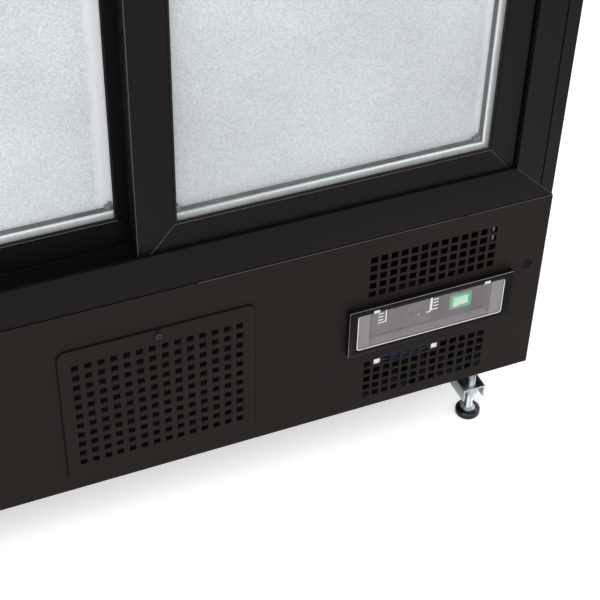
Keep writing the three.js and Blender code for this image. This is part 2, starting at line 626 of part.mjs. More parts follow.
function controllerFlap() {
  const plate = rectangle(0, 0, FLAP.width, FLAP.height, 2);
  const pieces = [frontPlate(plate, FLAP_BACK - FLAP.thickness, FLAP.thickness, 2)];
  for (const side of [-1, 1]) {
    const x = side * FLAP_TAB.from;
    const half = FLAP_TAB.width / 2;
    const y = [FLAP_BACK - FLAP.thickness, FLAP_BACK];
    pieces.push(block(x - half, x + half, ...y, FLAP_TOP - 1, FLAP_TOP + FLAP_TAB.rise));
  }
  add("controller_flap", join(...pieces), CLEAR, CONTROLLER);
}

// A face plate in front of the recess floor, with the body behind it in the cut-out.
function moduleBody({ at, width, height, depth }, rim, face) {
  const [w, h] = [width / 2, height / 2];
  const front = RECESS.floor - GAP;
  return join(
    block(at - w - rim, at + w + rim, front - face, front, -h - rim, h + rim),
    block(at - w, at + w, front - 1, front + depth, -h, h),
  );
}

function thermostat() {
  const face = RECESS.floor - GAP - THERMOSTAT.face;
  const at = THERMOSTAT.at;
  const cuts = [
    frontPlate(rectangle(at + DISPLAY.at, 0, DISPLAY.width, DISPLAY.height), face - 1, 1 + DISPLAY.depth),
  ];
  const [clear, well] = [2 * BUTTON.clear, BUTTON.travel + 2 * BUTTON.clear + 1];
  for (const x of BUTTON.at) {
    const hole = rectangle(at + x, 0, BUTTON.width + clear, BUTTON.height + clear, 1.5);
    cuts.push(frontPlate(hole, face - 1, 1 + well, 2));
    const key = rectangle(at + x, 0, BUTTON.width, BUTTON.height, 1.2);
    const length = BUTTON.proud + well - BUTTON.travel - BUTTON.clear;
    const name = x === BUTTON.at[0] ? "button_set" : "button_up";
    add("thermostat_" + name, frontPlate(key, face - BUTTON.proud, length, 2), BLACK_PLASTIC, CONTROLLER);
  }
  const body = moduleBody(THERMOSTAT, 1.5, THERMOSTAT.face);
  add("thermostat", cut(body, ...cuts), BLACK_PLASTIC, CONTROLLER);
}

// A rocker switch that tips about an upright axis; it rests pressed in on its right side.
function rockerSwitch() {
  const front = RECESS.floor - GAP;
  const [w, h] = [ROCKER.width / 2 - ROCKER.rim, ROCKER.height / 2 - ROCKER.rim];
  const well = block(ROCKER.at - w, ROCKER.at + w, front - 9, front + 9, -h, h);
  const housing = cut(moduleBody(ROCKER, 0.5, 2), well);
  add("rocker_housing", housing, BLACK_PLASTIC, CONTROLLER);
  const [kw, kh] = [w - 0.8, h - 0.8];
  const outline = polygon([
    [-kw, 4],
    [-kw, -ROCKER.proud],
    [0, -ROCKER.proud + 0.9],
    [kw, -ROCKER.proud],
    [kw, 4],
    [0, 6.5],
  ]);
  const key = add("rocker", extrude(outline, 2 * kh).translate(0, 0, -kh), GREEN, CONTROLLER);
  key.position.set(ROCKER.at, front, 0);
  key.rotation.z = THREE.MathUtils.degToRad(ROCKER.tilt);
}

// ---- Runners and levelling feet ----------------------------------------------------------
function hexagon(flats) {
  const corner = flats / Math.sqrt(3);
  const points = [...Array(6)].map((_, i) => {
    const angle = (i * Math.PI) / 3;
    return [corner * Math.cos(angle), corner * Math.sin(angle)];
  });
  return polygon(points);
}

function runner(name, x) {
  const [w, t, top] = [RUNNER.width / 2, RUNNER.sheet, RUNNER.top];
  const [y0, y1] = [FRONT + RUNNER.setBack, BACK - RUNNER.setBack];
  const low = top - RUNNER.height;
  const channel = cut(
    block(x - w, x + w, y0, y1, low, top),
    block(x - w + t, x + w - t, y0 - 1, y1 + 1, low - 1, top - t),
  );
  const nuts = footPlaces().map((y) =>
    extrude(hexagon(FOOT.nutFlats), NUT_HEIGHT).translate(x, y, top - t / 2 - NUT_HEIGHT),
  );
  const bores = footPlaces().map((y) => bar("z", FOOT.stud + GAP, 60, x, y, 0, 16));
  add(name, cut(join(channel, ...nuts), ...bores), ZINC);
}

const footPlaces = () => [FRONT + FOOT.setBack, BACK - FOOT.setBack];

function foot(name, x, y) {
  const rim = FOOT.pad;
  const seat = FOOT.stud + 4;
  const profile = [
    [0, 0],
    [rim - 1, 0],
    [rim, 1],
    [rim, FOOT.padHeight - 3],
    [rim - 1.5, FOOT.padHeight - 1],
    [seat, FOOT.padHeight],
    [seat, FOOT.padHeight - 4],
    [0, FOOT.padHeight - 4],
  ].map(([r, z]) => new THREE.Vector2(r, z));
  const pad = new THREE.LatheGeometry(profile, 20).rotateX(Math.PI / 2).translate(x, y, 0);
  add("foot_pad_" + name, pad, BLACK_PLASTIC);
  const base = FOOT.padHeight - 4 + GAP;
  const top = RUNNER.top + FOOT.above;
  const stud = join(
    bar("z", FOOT.stud, top - base, x, y, base, 16),
    bar("z", seat - GAP, 4, x, y, base, 16),
  );
  add("foot_stud_" + name, stud, ZINC);
}

function undercarriage() {
  const [front, back] = footPlaces();
  for (const [side, sign] of [["left", -1], ["right", 1]]) {
    const x = sign * (HALF - RUNNER.fromEdge);
    runner("runner_" + side, x);
    foot("front_" + side, x, front);
    foot("rear_" + side, x, back);
  }
}

function chassisTray() {
  const [y0, y1] = [FRONT + TRAY_SETBACK, BACK - TRAY_SETBACK];
  const outer = block(-BODY_HALF, BODY_HALF, y0, y1, TRAY_BOTTOM, TRAY_BOTTOM + TRAY_UPSTAND);
  const inner = block(-BODY_HALF + SHEET, BODY_HALF - SHEET, y0 - 1, y1 - SHEET, TRAY_TOP, HEIGHT);
  add("chassis_tray", cut(outer, inner), GALVANISED);
}

// ---- Refrigeration -----------------------------------------------------------------------
// A block of upright fins joined by a core through them.
function finBlock({ width, depth, height, fins, fin }, core = 0.5) {
  const pitch = (width - fin) / (fins - 1);
  const plates = [...Array(fins)].map((_, i) => {
    const x = -width / 2 + i * pitch;
    return block(x, x + fin, 0, depth, 0, height);
  });
  const [y, z] = [depth * (1 - core), height * (1 - core)].map((room) => room / 2);
  const middle = [-width / 2 + fin / 2, width / 2 - fin / 2, y, depth - y];
  return join(...plates, block(...middle, z, height - z));
}

// An axial fan about Y: a hub with pitched blades.
function fanWheel({ radius, hub, blades, depth, chord, pitch }) {
  const pieces = [bar("y", hub, depth, 0, -depth / 2, 0, 18)];
  for (let i = 0; i < blades; i++) {
    const blade = new THREE.BoxGeometry(chord, 1.6, radius - hub / 2)
      .translate(0, 0, (radius + hub / 2) / 2)
      .rotateZ(pitch)
      .rotateY((i * 2 * Math.PI) / blades);
    pieces.push(blade);
  }
  return join(...pieces);
}

const shroudFront = () => FRONT + CONDENSER.setBack + CONDENSER.depth + GAP;
const fanLevel = () => TRAY_TOP + GAP + CONDENSER.height / 2;

function condenser() {
  const coil = add("condenser", finBlock(CONDENSER), ALUMINIUM);
  coil.position.set(0, FRONT + CONDENSER.setBack, TRAY_TOP + GAP);
  const front = shroudFront();
  const half = CONDENSER.width / 2;
  const [z0, z1] = [TRAY_TOP + GAP, TRAY_TOP + GAP + CONDENSER.height];
  const [y1, wall] = [front + SHROUD.depth, SHROUD.wall];
  const motorStart = y1 - wall;
  const reach = FAN.radius + FAN.clear + 2 * SHROUD.root;
  const armLevels = [fanLevel() - SHROUD.arm, fanLevel() + SHROUD.arm];
  const arms = [-1, 1].map((side) => {
    const x = [side * (SHROUD.motor - SHROUD.root), side * reach].sort((a, b) => a - b);
    return block(...x, y1 - SHROUD.root, y1 + SHROUD.armDepth, ...armLevels);
  });
  const box = cut(
    block(-half, half, front, y1, z0, z1),
    block(-half + wall, half - wall, front - 1, y1 - wall, z0 + wall, z1 - wall),
    bar("y", FAN.radius + FAN.clear, SHROUD.depth * 2, 0, front, fanLevel(), 32),
  );
  const motor = bar("y", SHROUD.motor, SHROUD.motorDepth, 0, motorStart, fanLevel());
  add("fan_shroud", join(box, motor, ...arms), GALVANISED);
  const wheel = add("condenser_fan", fanWheel(FAN), BLACK_PLASTIC);
  wheel.position.set(0, motorStart - GAP - FAN.depth / 2, fanLevel());
}

function compressor() {
  const [x, y, z] = [HALF - COMPRESSOR.fromEdge, BACK - COMPRESSOR.fromBack, TRAY_TOP + GAP];
  const { radius, height, dome: rise, bottom } = COMPRESSOR;
  const profile = new THREE.Path().moveTo(0, bottom).lineTo(radius * 0.8, bottom);
  profile.quadraticCurveTo(radius, bottom, radius, rise).lineTo(radius, height - rise);
  profile.quadraticCurveTo(radius, height, 0, height);
  const dome = new THREE.LatheGeometry(profile.getPoints(4), 20).rotateX(Math.PI / 2);
  const { width, mount, mountHeight, inset, bottom: low, top: high } = COMPRESSOR_BASE;
  const foot = block(-width / 2, width / 2, -radius * 0.7, radius * 0.7, low, high);
  const mounts = [-1, 1].flatMap((sx) =>
    [-1, 1].map((sy) => bar("z", mount, mountHeight, sx * (width / 2 - inset), sy * radius * 0.5, 0, 12)),
  );
  const body = join(dome, foot, ...mounts).translate(x, y, z);
  add("compressor", body, BLACK_PAINT);
}

function drainTray() {
  const { width, depth, height, wall, fromEdge, fromBack } = DRAIN;
  const [x, y, z] = [fromEdge - HALF, BACK - fromBack, TRAY_TOP + GAP];
  const [w, d] = [width / 2, depth / 2];
  const outer = block(x - w, x + w, y - d, y + d, z, z + height);
  const inner = block(x - w + wall, x + w - wall, y - d + wall, y + d - wall, z + wall, z + height + 1);
  add("drain_tray", cut(outer, inner), BLACK_PLASTIC);
}

// ---- Cooling unit inside the room --------------------------------------------------------
function coolingUnit() {
  const { width, depth, height, wall, margin, motorGap, coilGap } = DUCT;
  const top = ROOM.top - GAP;
  const [y0, y1] = [ROOM.back - GAP - depth, ROOM.back - GAP];
  const z0 = top - height;
  const level = z0 + height / 2;
  const fanX = width / 2 - COLD_FAN.radius - 4 * wall - COLD_FAN.clear;
  const grilleEnd = fanX - COLD_FAN.radius - margin;
  const cover = cut(
    block(-width / 2, width / 2, y0, y1, z0, top),
    block(-width / 2 + wall, width / 2 - wall, y0 + wall, y1 - wall, z0 + wall, top + 1),
    bar("y", COLD_FAN.radius + COLD_FAN.clear, wall + 2, fanX, y0 - 1, level, 28),
    block(margin - width / 2, grilleEnd, y0 + margin, y1 - margin, z0 - 1, z0 + wall + 1),
  );
  const motorFront = y0 + wall + COLD_FAN.depth + motorGap;
  const motor = bar("y", COLD_FAN.hub, y1 - wall / 2 - motorFront, fanX, motorFront, level);
  add("evaporator_cover", join(cover, motor), WHITE_PLASTIC);
  const coil = add("evaporator", finBlock(EVAPORATOR), ALUMINIUM);
  const coilX = fanX - COLD_FAN.radius - coilGap - EVAPORATOR.width / 2;
  coil.position.set(coilX, (y0 + y1 - EVAPORATOR.depth) / 2, top - EVAPORATOR.height);
  const wheel = add("evaporator_fan", fanWheel(COLD_FAN), BLACK_PLASTIC);
  wheel.position.set(fanX, motorFront - GAP - COLD_FAN.depth / 2, level);
}

function lamp() {
  const y0 = BODY_FRONT + LAMP.setBack;
  const [z0, z1] = [ROOM.top - GAP - LAMP.height, ROOM.top - GAP];
  const edge = LAMP.chamfer;
  const section = polygon([
    [y0 + edge, z0],
    [y0 + LAMP.width - edge, z0],
    [y0 + LAMP.width, z0 + edge],
    [y0 + LAMP.width, z1],
    [y0, z1],
    [y0, z0 + edge],
  ]);
  add("interior_lamp", alongX(section, -LAMP.length / 2, LAMP.length), WHITE_PLASTIC);
}

// ---- The whole ---------------------------------------------------------------------------
worktop();
sidePanels();
backPanel();
cordGland();
foamedBody();
innerLiner();
shelves();
surround();
door("right_door", 1, FRONT_DOOR_Y);
door("left_door", -1, REAR_DOOR_Y);
doorBrush();
frontPanel();
accessCover();
accessScrew();
holePlug();
controllerBezel();
controllerFlap();
thermostat();
rockerSwitch();
undercarriage();
chassisTray();
condenser();
compressor();
drainTray();
coolingUnit();
lamp();

export default fridge;
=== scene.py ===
"""Two-door under counter fridge: finishes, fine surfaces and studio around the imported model."""

import json
import math

import bmesh
import bpy
from mathutils import Matrix, Vector


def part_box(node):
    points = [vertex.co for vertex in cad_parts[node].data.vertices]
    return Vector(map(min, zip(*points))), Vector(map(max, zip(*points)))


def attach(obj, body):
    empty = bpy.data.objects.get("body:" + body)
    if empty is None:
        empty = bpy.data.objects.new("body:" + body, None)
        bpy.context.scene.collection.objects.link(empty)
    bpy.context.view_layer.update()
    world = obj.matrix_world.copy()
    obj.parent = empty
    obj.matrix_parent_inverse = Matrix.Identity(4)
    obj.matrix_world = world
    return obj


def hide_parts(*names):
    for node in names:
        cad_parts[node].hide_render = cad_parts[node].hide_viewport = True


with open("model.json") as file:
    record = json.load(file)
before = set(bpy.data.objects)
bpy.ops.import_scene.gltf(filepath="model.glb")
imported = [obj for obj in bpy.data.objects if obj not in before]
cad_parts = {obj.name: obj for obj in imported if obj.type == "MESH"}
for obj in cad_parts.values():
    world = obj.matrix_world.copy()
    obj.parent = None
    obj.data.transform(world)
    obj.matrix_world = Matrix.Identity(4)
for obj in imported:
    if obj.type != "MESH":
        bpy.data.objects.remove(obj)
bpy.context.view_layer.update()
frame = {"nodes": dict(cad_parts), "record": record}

bl_info = {
    "name": "Under Counter Fridge",
    "version": (1, 0, 0),
    "blender": (4, 5, 0),
    "location": "View3D > Sidebar > Fridge",
    "description": "Dresses the packed under counter fridge and sets a plain studio around it",
    "category": "Object",
}

MM = 0.001
WHITE = (1, 1, 1)
BODY_OF = {node: body for body, nodes in frame["record"]["behaviour"]["bodies"].items() for node in nodes}
SLOT_OF = {row["node"]: row["material_slot"] for row in frame["record"]["subparts"]}
CORNERS = ("front_left", "front_right", "rear_left", "rear_right")
DOORS = ("right_door", "left_door")
SIDES = ("bottom", "top", "left", "right")


# ---- Settings ----
def colour(name, description, default):
    return bpy.props.FloatVectorProperty(
        name=name, description=description, subtype="COLOR", size=3, min=0, max=1, default=default
    )


def length(name, description, default):
    return bpy.props.FloatProperty(name=name, description=description, unit="LENGTH", min=0, default=default)


def number(name, description, default, **limits):
    return bpy.props.FloatProperty(name=name, description=description, default=default, **limits)


class FridgeColours(bpy.types.PropertyGroup):
    """Linear colours of the finishes."""

    paint: colour("Paint", "Powder coat of the sheet metal", (0.0112, 0.0080, 0.0070))
    extrusion: colour("Extrusion", "Coating of the frame profiles", (0.0048, 0.0036, 0.0042))
    plastic: colour("Black plastic", "Moulded black plastic", (0.0040, 0.0038, 0.0042))
    white: colour("White plastic", "Liner and covers", (0.78, 0.80, 0.81))
    glass: colour("Frosted glass", "Inner pane, misted by the cold", (0.52, 0.555, 0.57))
    flap: colour("Flap", "Clear flap in front of the controls", (0.46, 0.42, 0.44))
    green: colour("Rocker", "Lit rocker switch", (0.10, 0.62, 0.30))
    zinc: colour("Zinc", "Plated runners and studs", (0.72, 0.82, 0.86))
    # Painted shade: kept far darker than bright galvanised steel, so the trays and brackets seen through the
    # grilles read dark.
    steel: colour("Galvanised steel", "Trays and brackets", (0.16, 0.17, 0.18))
    aluminium: colour("Aluminium", "Fins and glass spacers", (0.80, 0.82, 0.83))
    foam: colour("Foam", "Rigid insulation", (0.62, 0.52, 0.26))
    copper: colour("Copper", "Refrigerant pipes", (0.70, 0.33, 0.19))
    wire: colour("Wire blue", "Supply wires", (0.010, 0.020, 0.075))


class FridgeSizes(bpy.types.PropertyGroup):
    """Sizes of the fine surface."""

    sheet_edge: length("Sheet edge", "Rounding of cut sheet edges", 0.35 * MM)
    fold_edge: length("Fold edge", "Rounding of folded sheet", 1.2 * MM)
    profile_edge: length("Profile edge", "Rounding of the frame profiles", 0.5 * MM)
    moulded_edge: length("Moulded edge", "Rounding of moulded plastic", 0.6 * MM)
    thread_pitch: length("Thread pitch", "Pitch of the levelling studs", 1.5 * MM)
    thread_depth: length("Thread depth", "Depth of the thread", 0.8 * MM)
    shelf_wire: length("Shelf wire", "Diameter of the shelf wires", 3.2 * MM)
    gasket: length("Gasket", "Width of the glazing bead", 2.4 * MM)


class FridgeStudio(bpy.types.PropertyGroup):
    """Camera and light."""

    lens: number("Lens", "Focal length", 92.46, unit="CAMERA", min=10)
    key: number("Key light", "Power of the big soft light", 62.0, unit="POWER", min=0)
    fill: number("Fill light", "Power of the front light", 16.0, unit="POWER", min=0)
    rim: number("Rim light", "Power of the light from the right", 12.0, unit="POWER", min=0)
    surround: number("World", "Strength of the room's light", 0.85, min=0)
    floor: colour("Floor", "Pale studio floor", (0.86, 0.86, 0.86))


# ---- Shader nodes ----
class Value:
    """A shader output that takes part in arithmetic; every operation adds a Math node."""

    def __init__(self, nodes, socket):
        self.nodes, self.socket = nodes, socket

    def _math(self, operation, *terms):
        return self.nodes.node("ShaderNodeMath", {"operation": operation}, dict(enumerate(terms)))

    def __add__(self, other):
        return self._math("ADD", self, other)

    def __radd__(self, other):
        return self._math("ADD", other, self)

    def __sub__(self, other):
        return self._math("SUBTRACT", self, other)

    def __rsub__(self, other):
        return self._math("SUBTRACT", other, self)

    def __mul__(self, other):
        return self._math("MULTIPLY", self, other)

    def __rmul__(self, other):
        return self._math("MULTIPLY", other, self)

    def __gt__(self, other):
        return self._math("GREATER_THAN", self, other)

    def __lt__(self, other):
        return self._math("LESS_THAN", self, other)

    def __abs__(self):
        return self._math("ABSOLUTE", self)


class Nodes:
    """The shader nodes of one material or world."""

    def __init__(self, owner):
        owner.use_nodes = True
        self.tree = owner.node_tree

    def link(self, socket, value):
        if isinstance(value, Value):
            self.tree.links.new(value.socket, socket)
        else:
            socket.default_value = (*value, 1) if socket.type == "RGBA" else value

    def node(self, kind, settings=None, inputs=None, output=0):
        made = self.tree.nodes.new(kind)
        for key, value in (settings or {}).items():
            setattr(made, key, value)
        for key, value in (inputs or {}).items():
            self.link(made.inputs[key], value)
        return Value(self, made.outputs[output])

    def blend(self, factor, first, second):
        """A colour between two; a Mix node keeps its colours at inputs 6 and 7 and output 2."""
        return self.node("ShaderNodeMix", {"data_type": "RGBA"}, {0: factor, 6: first, 7: second}, 2)


class Finish(Nodes):
    """One procedural material about a Principled shader."""

    def __init__(self, name, base, roughness, metallic=0.0, **constants):
        self.material = bpy.data.materials.new(name)
        super().__init__(self.material)
        self.shader = self.tree.nodes["Principled BSDF"]
        for socket, value in constants.items():
            self.set(socket.replace("_", " "), value)
        self.set("Base Color", base)
        self.set("Roughness", roughness)
        self.set("Metallic", metallic)

    def set(self, socket, value):
        self.link(self.shader.inputs[socket], value)

    def along(self, axis):
        """One object coordinate, in metres."""
        at = self.node("ShaderNodeTexCoord", output="Object")
        return self.node("ShaderNodeSeparateXYZ", None, {0: at}, axis)

    def place(self, stretch=(1, 1, 1)):
        at = self.node("ShaderNodeTexCoord", output="Object")
        return self.node("ShaderNodeMapping", None, {"Vector": at, "Scale": stretch})

    def noise(self, scale, detail=2.0, stretch=(1, 1, 1), roughness=0.5):
        inputs = {"Vector": self.place(stretch), "Scale": scale, "Detail": detail, "Roughness": roughness}
        return self.node("ShaderNodeTexNoise", None, inputs, "Fac")

    def cells(self, scale, output="Distance"):
        return self.node("ShaderNodeTexVoronoi", None, {"Vector": self.place(), "Scale": scale}, output)

    def flakes(self, scale):
        """A random value for each cell."""
        return self.node("ShaderNodeSeparateColor", None, {0: self.cells(scale, "Color")})

    def ramp(self, value, low, high, start=0.0, end=1.0):
        inputs = {"Value": value, "From Min": low, "From Max": high, "To Min": start, "To Max": end}
        return self.node("ShaderNodeMapRange", {"clamp": True}, inputs)

    def tint(self, pattern, base, dark, light):
        """The base colour, from a darker to a lighter shade along a pattern."""
        self.set("Base Color", self.blend(pattern, shade(base, dark), shade(base, light)))

    def roughen(self, pattern, low, high):
        """The roughness, between two values along a noise pattern."""
        self.set("Roughness", self.ramp(pattern, 0.3, 0.7, low, high))

    def bump(self, height, distance, strength=1.0):
        inputs = {"Height": height, "Distance": distance, "Strength": strength}
        self.set("Normal", self.node("ShaderNodeBump", None, inputs, "Normal"))


def shade(base, factor):
    """The colour made lighter or darker by a factor."""
    return tuple(min(1.0, channel * factor) for channel in base)


# ---- Finishes ----
def powder_coat(name, base):
    """Fine orange peel on sheet metal."""
    finish = Finish(name, base, 0.5, Specular_IOR_Level=0.10)
    finish.tint(finish.noise(9, 3), base, 0.88, 1.14)
    grain = finish.noise(1400, 2)
    finish.set("Roughness", finish.ramp(grain, 0.3, 0.7, 0.46, 0.58) + finish.noise(30, 2) * 0.05)
    finish.bump(grain + finish.noise(420, 1) * 0.6, 0.00006, 0.35)
    return finish.material


def coated_profile(name, base):
    """Satin coat on the frame profiles, with painted shade: its colour darkens behind the front door's face,
    inside the track and over the rear door.
    """
    finish = Finish(name, base, 0.42, Specular_IOR_Level=0.10)
    patches = finish.blend(finish.noise(14, 3), shade(base, 0.85), shade(base, 1.18))
    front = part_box("right_door_frame_left")[0][1]
    outer_face = abs(finish.along(0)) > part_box("surround_right")[1][0] - MM
    # Painted shade: behind the front door's face the colour falls to a dark copy, so the track and the rear
    # door read shaded; the outer side faces keep the plain coat.
    inside = finish.ramp(finish.along(1), front + MM, front + 9 * MM) * (1 - outer_face)
    finish.set("Base Color", finish.blend(inside, patches, shade(base, 0.18)))
    lines = finish.noise(220, 2, (1, 14, 1))
    finish.set("Roughness", finish.ramp(lines, 0.3, 0.7, 0.36, 0.48) + inside * 0.3)
    finish.bump(lines + finish.noise(900, 1) * 0.4, 0.00004, 0.3)
    return finish.material


def moulded_black(name, base, rough=0.22, specular=0.22):
    finish = Finish(name, base, rough, Specular_IOR_Level=specular)
    finish.tint(finish.noise(40, 2), base, 0.8, 1.3)
    finish.set("Roughness", finish.ramp(finish.noise(260, 3), 0.3, 0.75, rough * 0.8, rough * 1.35))
    finish.bump(finish.noise(700, 2), 0.00003, 0.3)
    return finish.material


def rubber(name, base):
    finish = Finish(name, base, 0.8, Specular_IOR_Level=0.3)
    finish.roughen(finish.noise(500, 3), 0.7, 0.9)
    finish.bump(finish.noise(1200, 2), 0.00008, 0.5)
    return finish.material


def smooth_white(name, base):
    finish = Finish(name, base, 0.45)
    finish.tint(finish.noise(6, 3), base, 0.95, 1.04)
    finish.roughen(finish.noise(180, 2), 0.38, 0.52)
    finish.bump(finish.noise(320, 2), 0.00008, 0.3)
    return finish.material


def zinc_plate(name, base):
    """Plated steel with a bluish cast and fine scratches."""
    finish = Finish(name, base, 0.3, 1.0)
    pale = (0.72, 0.76, 0.76)
    finish.set("Base Color", finish.blend(finish.noise(60, 3), shade(base, 0.82), pale))
    scratches = finish.noise(300, 3, (1, 0.08, 1))
    finish.roughen(scratches, 0.2, 0.42)
    finish.bump(scratches, 0.00005, 0.35)
    return finish.material


def galvanised(name, base):
    """Spangled steel."""
    finish = Finish(name, base, 0.45, 1.0)
    spangle = finish.flakes(110)
    finish.tint(spangle, base, 0.75, 1.3)
    finish.set("Roughness", finish.ramp(spangle, 0, 1, 0.34, 0.58))
    finish.bump(spangle, 0.00004, 0.3)
    return finish.material


def bright_aluminium(name, base, rough=0.35):
    """Drawn metal, with lines along its length."""
    finish = Finish(name, base, rough, 1.0)
    lines = finish.noise(500, 2, (1, 1, 0.05))
    finish.tint(lines, base, 0.86, 1.08)
    finish.roughen(lines, rough * 0.8, rough * 1.3)
    finish.bump(lines, 0.00003, 0.3)
    return finish.material


def spacer_bar(name, base):
    """Pale spacer bar with fine breathing holes."""
    finish = Finish(name, base, 0.4, 0.55)
    holes = finish.cells(620) < 0.22
    wear = finish.noise(45, 3)
    pale = finish.blend(wear, shade(base, 0.92), shade(base, 1.12))
    finish.set("Base Color", finish.blend(holes * 0.55, pale, (0.22, 0.23, 0.24)))
    finish.roughen(wear, 0.34, 0.5)
    finish.bump(1 - holes, 0.00015, 0.6)
    return finish.material


def misted_glass(name, base, door):
    """Pane covered by fine condensation, with a painted reflection: a bright pale strip down its right side.
    """
    finish = Finish(name, base, 0.3, Specular_IOR_Level=0.35)
    beads = finish.cells(420)
    haze = finish.noise(5, 4, roughness=0.6)
    fine = finish.noise(900, 2, roughness=0.7)
    mist = finish.ramp(haze * 0.4 + fine * 0.4 + finish.flakes(760) * 0.2, 0.34, 0.66)
    pale = finish.blend(mist, shade(base, 0.82), shade(base, 1.22))
    drops = finish.ramp(beads, 0.05, 0.3, 0.32, 0.0) * finish.ramp(finish.noise(11, 3), 0.4, 0.6)
    wet = finish.blend(drops, pale, shade(base, 0.62))
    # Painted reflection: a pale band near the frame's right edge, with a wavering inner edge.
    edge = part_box(door + "_frame_right")[0][0]
    waver = finish.noise(38, 2, (1, 1, 0.3)) * 0.012
    strip = finish.ramp(finish.along(0) + waver, edge - 11 * MM, edge - 4 * MM)
    finish.set("Base Color", finish.blend(strip * 0.85, wet, (0.80, 0.80, 0.84)))
    finish.roughen(fine, 0.25, 0.55)
    finish.set("Alpha", finish.ramp(mist, 0, 1, 0.9, 0.98))
    finish.bump(fine * 0.7 + finish.ramp(beads, 0.0, 0.3, 1.0, 0.0), 0.0005, 0.6)
    return finish.material


def clear_sheet(name, base, low, high, rough=0.06):
    """Thin clear pane or flap: see-through, with faint streaks in its haze."""
    finish = Finish(name, base, rough, Specular_IOR_Level=0.5)
    streaks = finish.noise(26, 3, (1, 1, 0.4))
    finish.set("Alpha", finish.ramp(streaks, 0.3, 0.7, low, high))
    finish.roughen(streaks, rough * 0.7, rough * 1.8)
    finish.bump(finish.noise(90, 2), 0.00002, 0.2)
    return finish.material


def lit_rocker(name, base):
    """Translucent green, lit from inside and paler towards its lower edge."""
    finish = Finish(name, base, 0.3, Emission_Strength=0.55)
    low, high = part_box("rocker")
    upward = finish.ramp(finish.along(2), low[2], high[2])
    ribs = finish.noise(500, 1, (1, 1, 0.1))
    tone = finish.blend(upward, (0.55, 0.68, 0.60), base)
    glow = finish.blend(ribs * 0.5, tone, (0.75, 0.86, 0.78))
    finish.set("Base Color", glow)
    finish.set("Emission Color", glow)
    finish.roughen(ribs, 0.22, 0.4)
    return finish.material


def glowing(name, base, strength):
    """A pale face that always reads bright by its own glow: for a lamp, and as painted light on parts that
    are no lamp, such as an edge.
    """
    finish = Finish(name, base, 0.4, Emission_Strength=strength)
    finish.set("Emission Color", finish.blend(finish.noise(160, 1), shade(base, 0.94), base))
    return finish.material


def foam(name, base):
    finish = Finish(name, base, 0.95)
    cells = finish.cells(420)
    finish.tint(cells, base, 1.1, 0.7)
    finish.bump(cells, 0.0004, 0.6)
    return finish.material


def plain_metal(name, base, rough):
    finish = Finish(name, base, rough, 1.0)
    tarnish = finish.noise(35, 4)
    finish.tint(tarnish, base, 0.7, 1.15)
    finish.roughen(tarnish, rough * 0.7, rough * 1.4)
    return finish.material


def insulated_wire(name, base):
    finish = Finish(name, base, 0.35)
    finish.tint(finish.noise(90, 2), base, 0.8, 1.25)
    return finish.material


def all_finishes():
    """Every material, by the record's slot or by the piece that it is for."""
    tones = bpy.context.scene.fridge_colours
    return {
        "black_paint": powder_coat("black powder coat", tones.paint),
        "black_aluminium": coated_profile("black coated profile", tones.extrusion),
        "black_plastic": moulded_black("black plastic", tones.plastic),
        "bezel_plastic": moulded_black("bezel plastic", shade(tones.plastic, 1.2), 0.2, 0.07),
        "pad_plastic": moulded_black("glossy foot plastic", tones.plastic, 0.13, 0.5),
        "recess_plastic": moulded_black("recess plastic", (0.030, 0.026, 0.028), 0.4),
        "rubber": rubber("black rubber", shade(tones.plastic, 0.9)),
        "white_plastic": smooth_white("white plastic", tones.white),
        "zinc": zinc_plate("zinc plate", tones.zinc),
        "galvanised": galvanised("galvanised steel", tones.steel),
        "aluminium": bright_aluminium("bright aluminium", tones.aluminium),
        "shelf_wire": bright_aluminium("shelf wire", shade(tones.aluminium, 0.95), 0.22),
        "spacer": spacer_bar("glass spacer", tones.aluminium),
        "right_door_mist": misted_glass("misted right glass", tones.glass, "right_door"),
        # Painted light: the left pane is a copy of the glass made 1.13 times lighter, for the stronger light
        # that falls on it.
        "left_door_mist": misted_glass("misted left glass", shade(tones.glass, 1.13), "left_door"),
        "clear_glass": clear_sheet("clear glass", (0.75, 0.80, 0.80), 0.05, 0.09, 0.03),
        "clear_plastic": clear_sheet("clear flap", tones.flap, 0.17, 0.24, 0.10),
        # Painted highlight: a glow for the flap's rim and hinge tabs, which are no lamp.
        "flap_edge_highlight": glowing("flap edge", (0.62, 0.60, 0.62), 0.25),
        "green_plastic": lit_rocker("lit green rocker", tones.green),
        "lamp": glowing("lamp diffuser", (0.95, 0.97, 1.0), 1.5),
        # Painted glow: the printed marks emit light, though they are no lamp.
        "print": glowing("printed marks", (0.75, 0.75, 0.77), 1.1),
        "pale_grey": moulded_black("pale grey backing", (0.17, 0.16, 0.165), 0.4),
        # Grey metal for painted highlight lines along edges; the spacer's corner keys use it as their own
        # metal.
        "highlight_grey_metal": plain_metal("worn edge", (0.16, 0.15, 0.15), 0.4),
        # Painted highlight: a glow for the bezel's top and left edges, which are no lamp.
        "bezel_edge_highlight": glowing("bezel edge", (0.34, 0.32, 0.34), 0.3),
        "housing": glowing("lit housing", (0.02, 0.30, 0.13), 0.5),
        "foam": foam("rigid foam", tones.foam),
        "copper": plain_metal("copper pipe", tones.copper, 0.3),
        "wire": insulated_wire("blue wire", tones.wire),
    }


# Filled by main, once the settings are registered.
FINISHES = {}


# ---- Mesh helpers ----
def show(name, mesh, body, slot, finish=None):
    """Adds a mesh as a piece that rides on a body and takes a finish."""
    mesh.name = name
    mesh.materials.clear()
    mesh.materials.append(FINISHES[finish or slot])
    piece = bpy.data.objects.new(name, mesh)
    bpy.context.scene.collection.objects.link(piece)
    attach(piece, body)
    return piece


def stand_in(node, name, mesh, finish=None):
    """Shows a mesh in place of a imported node, on its body and in its slot."""
    piece = show(name, mesh, BODY_OF[node], SLOT_OF[node], finish)
    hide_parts(node)
    return piece


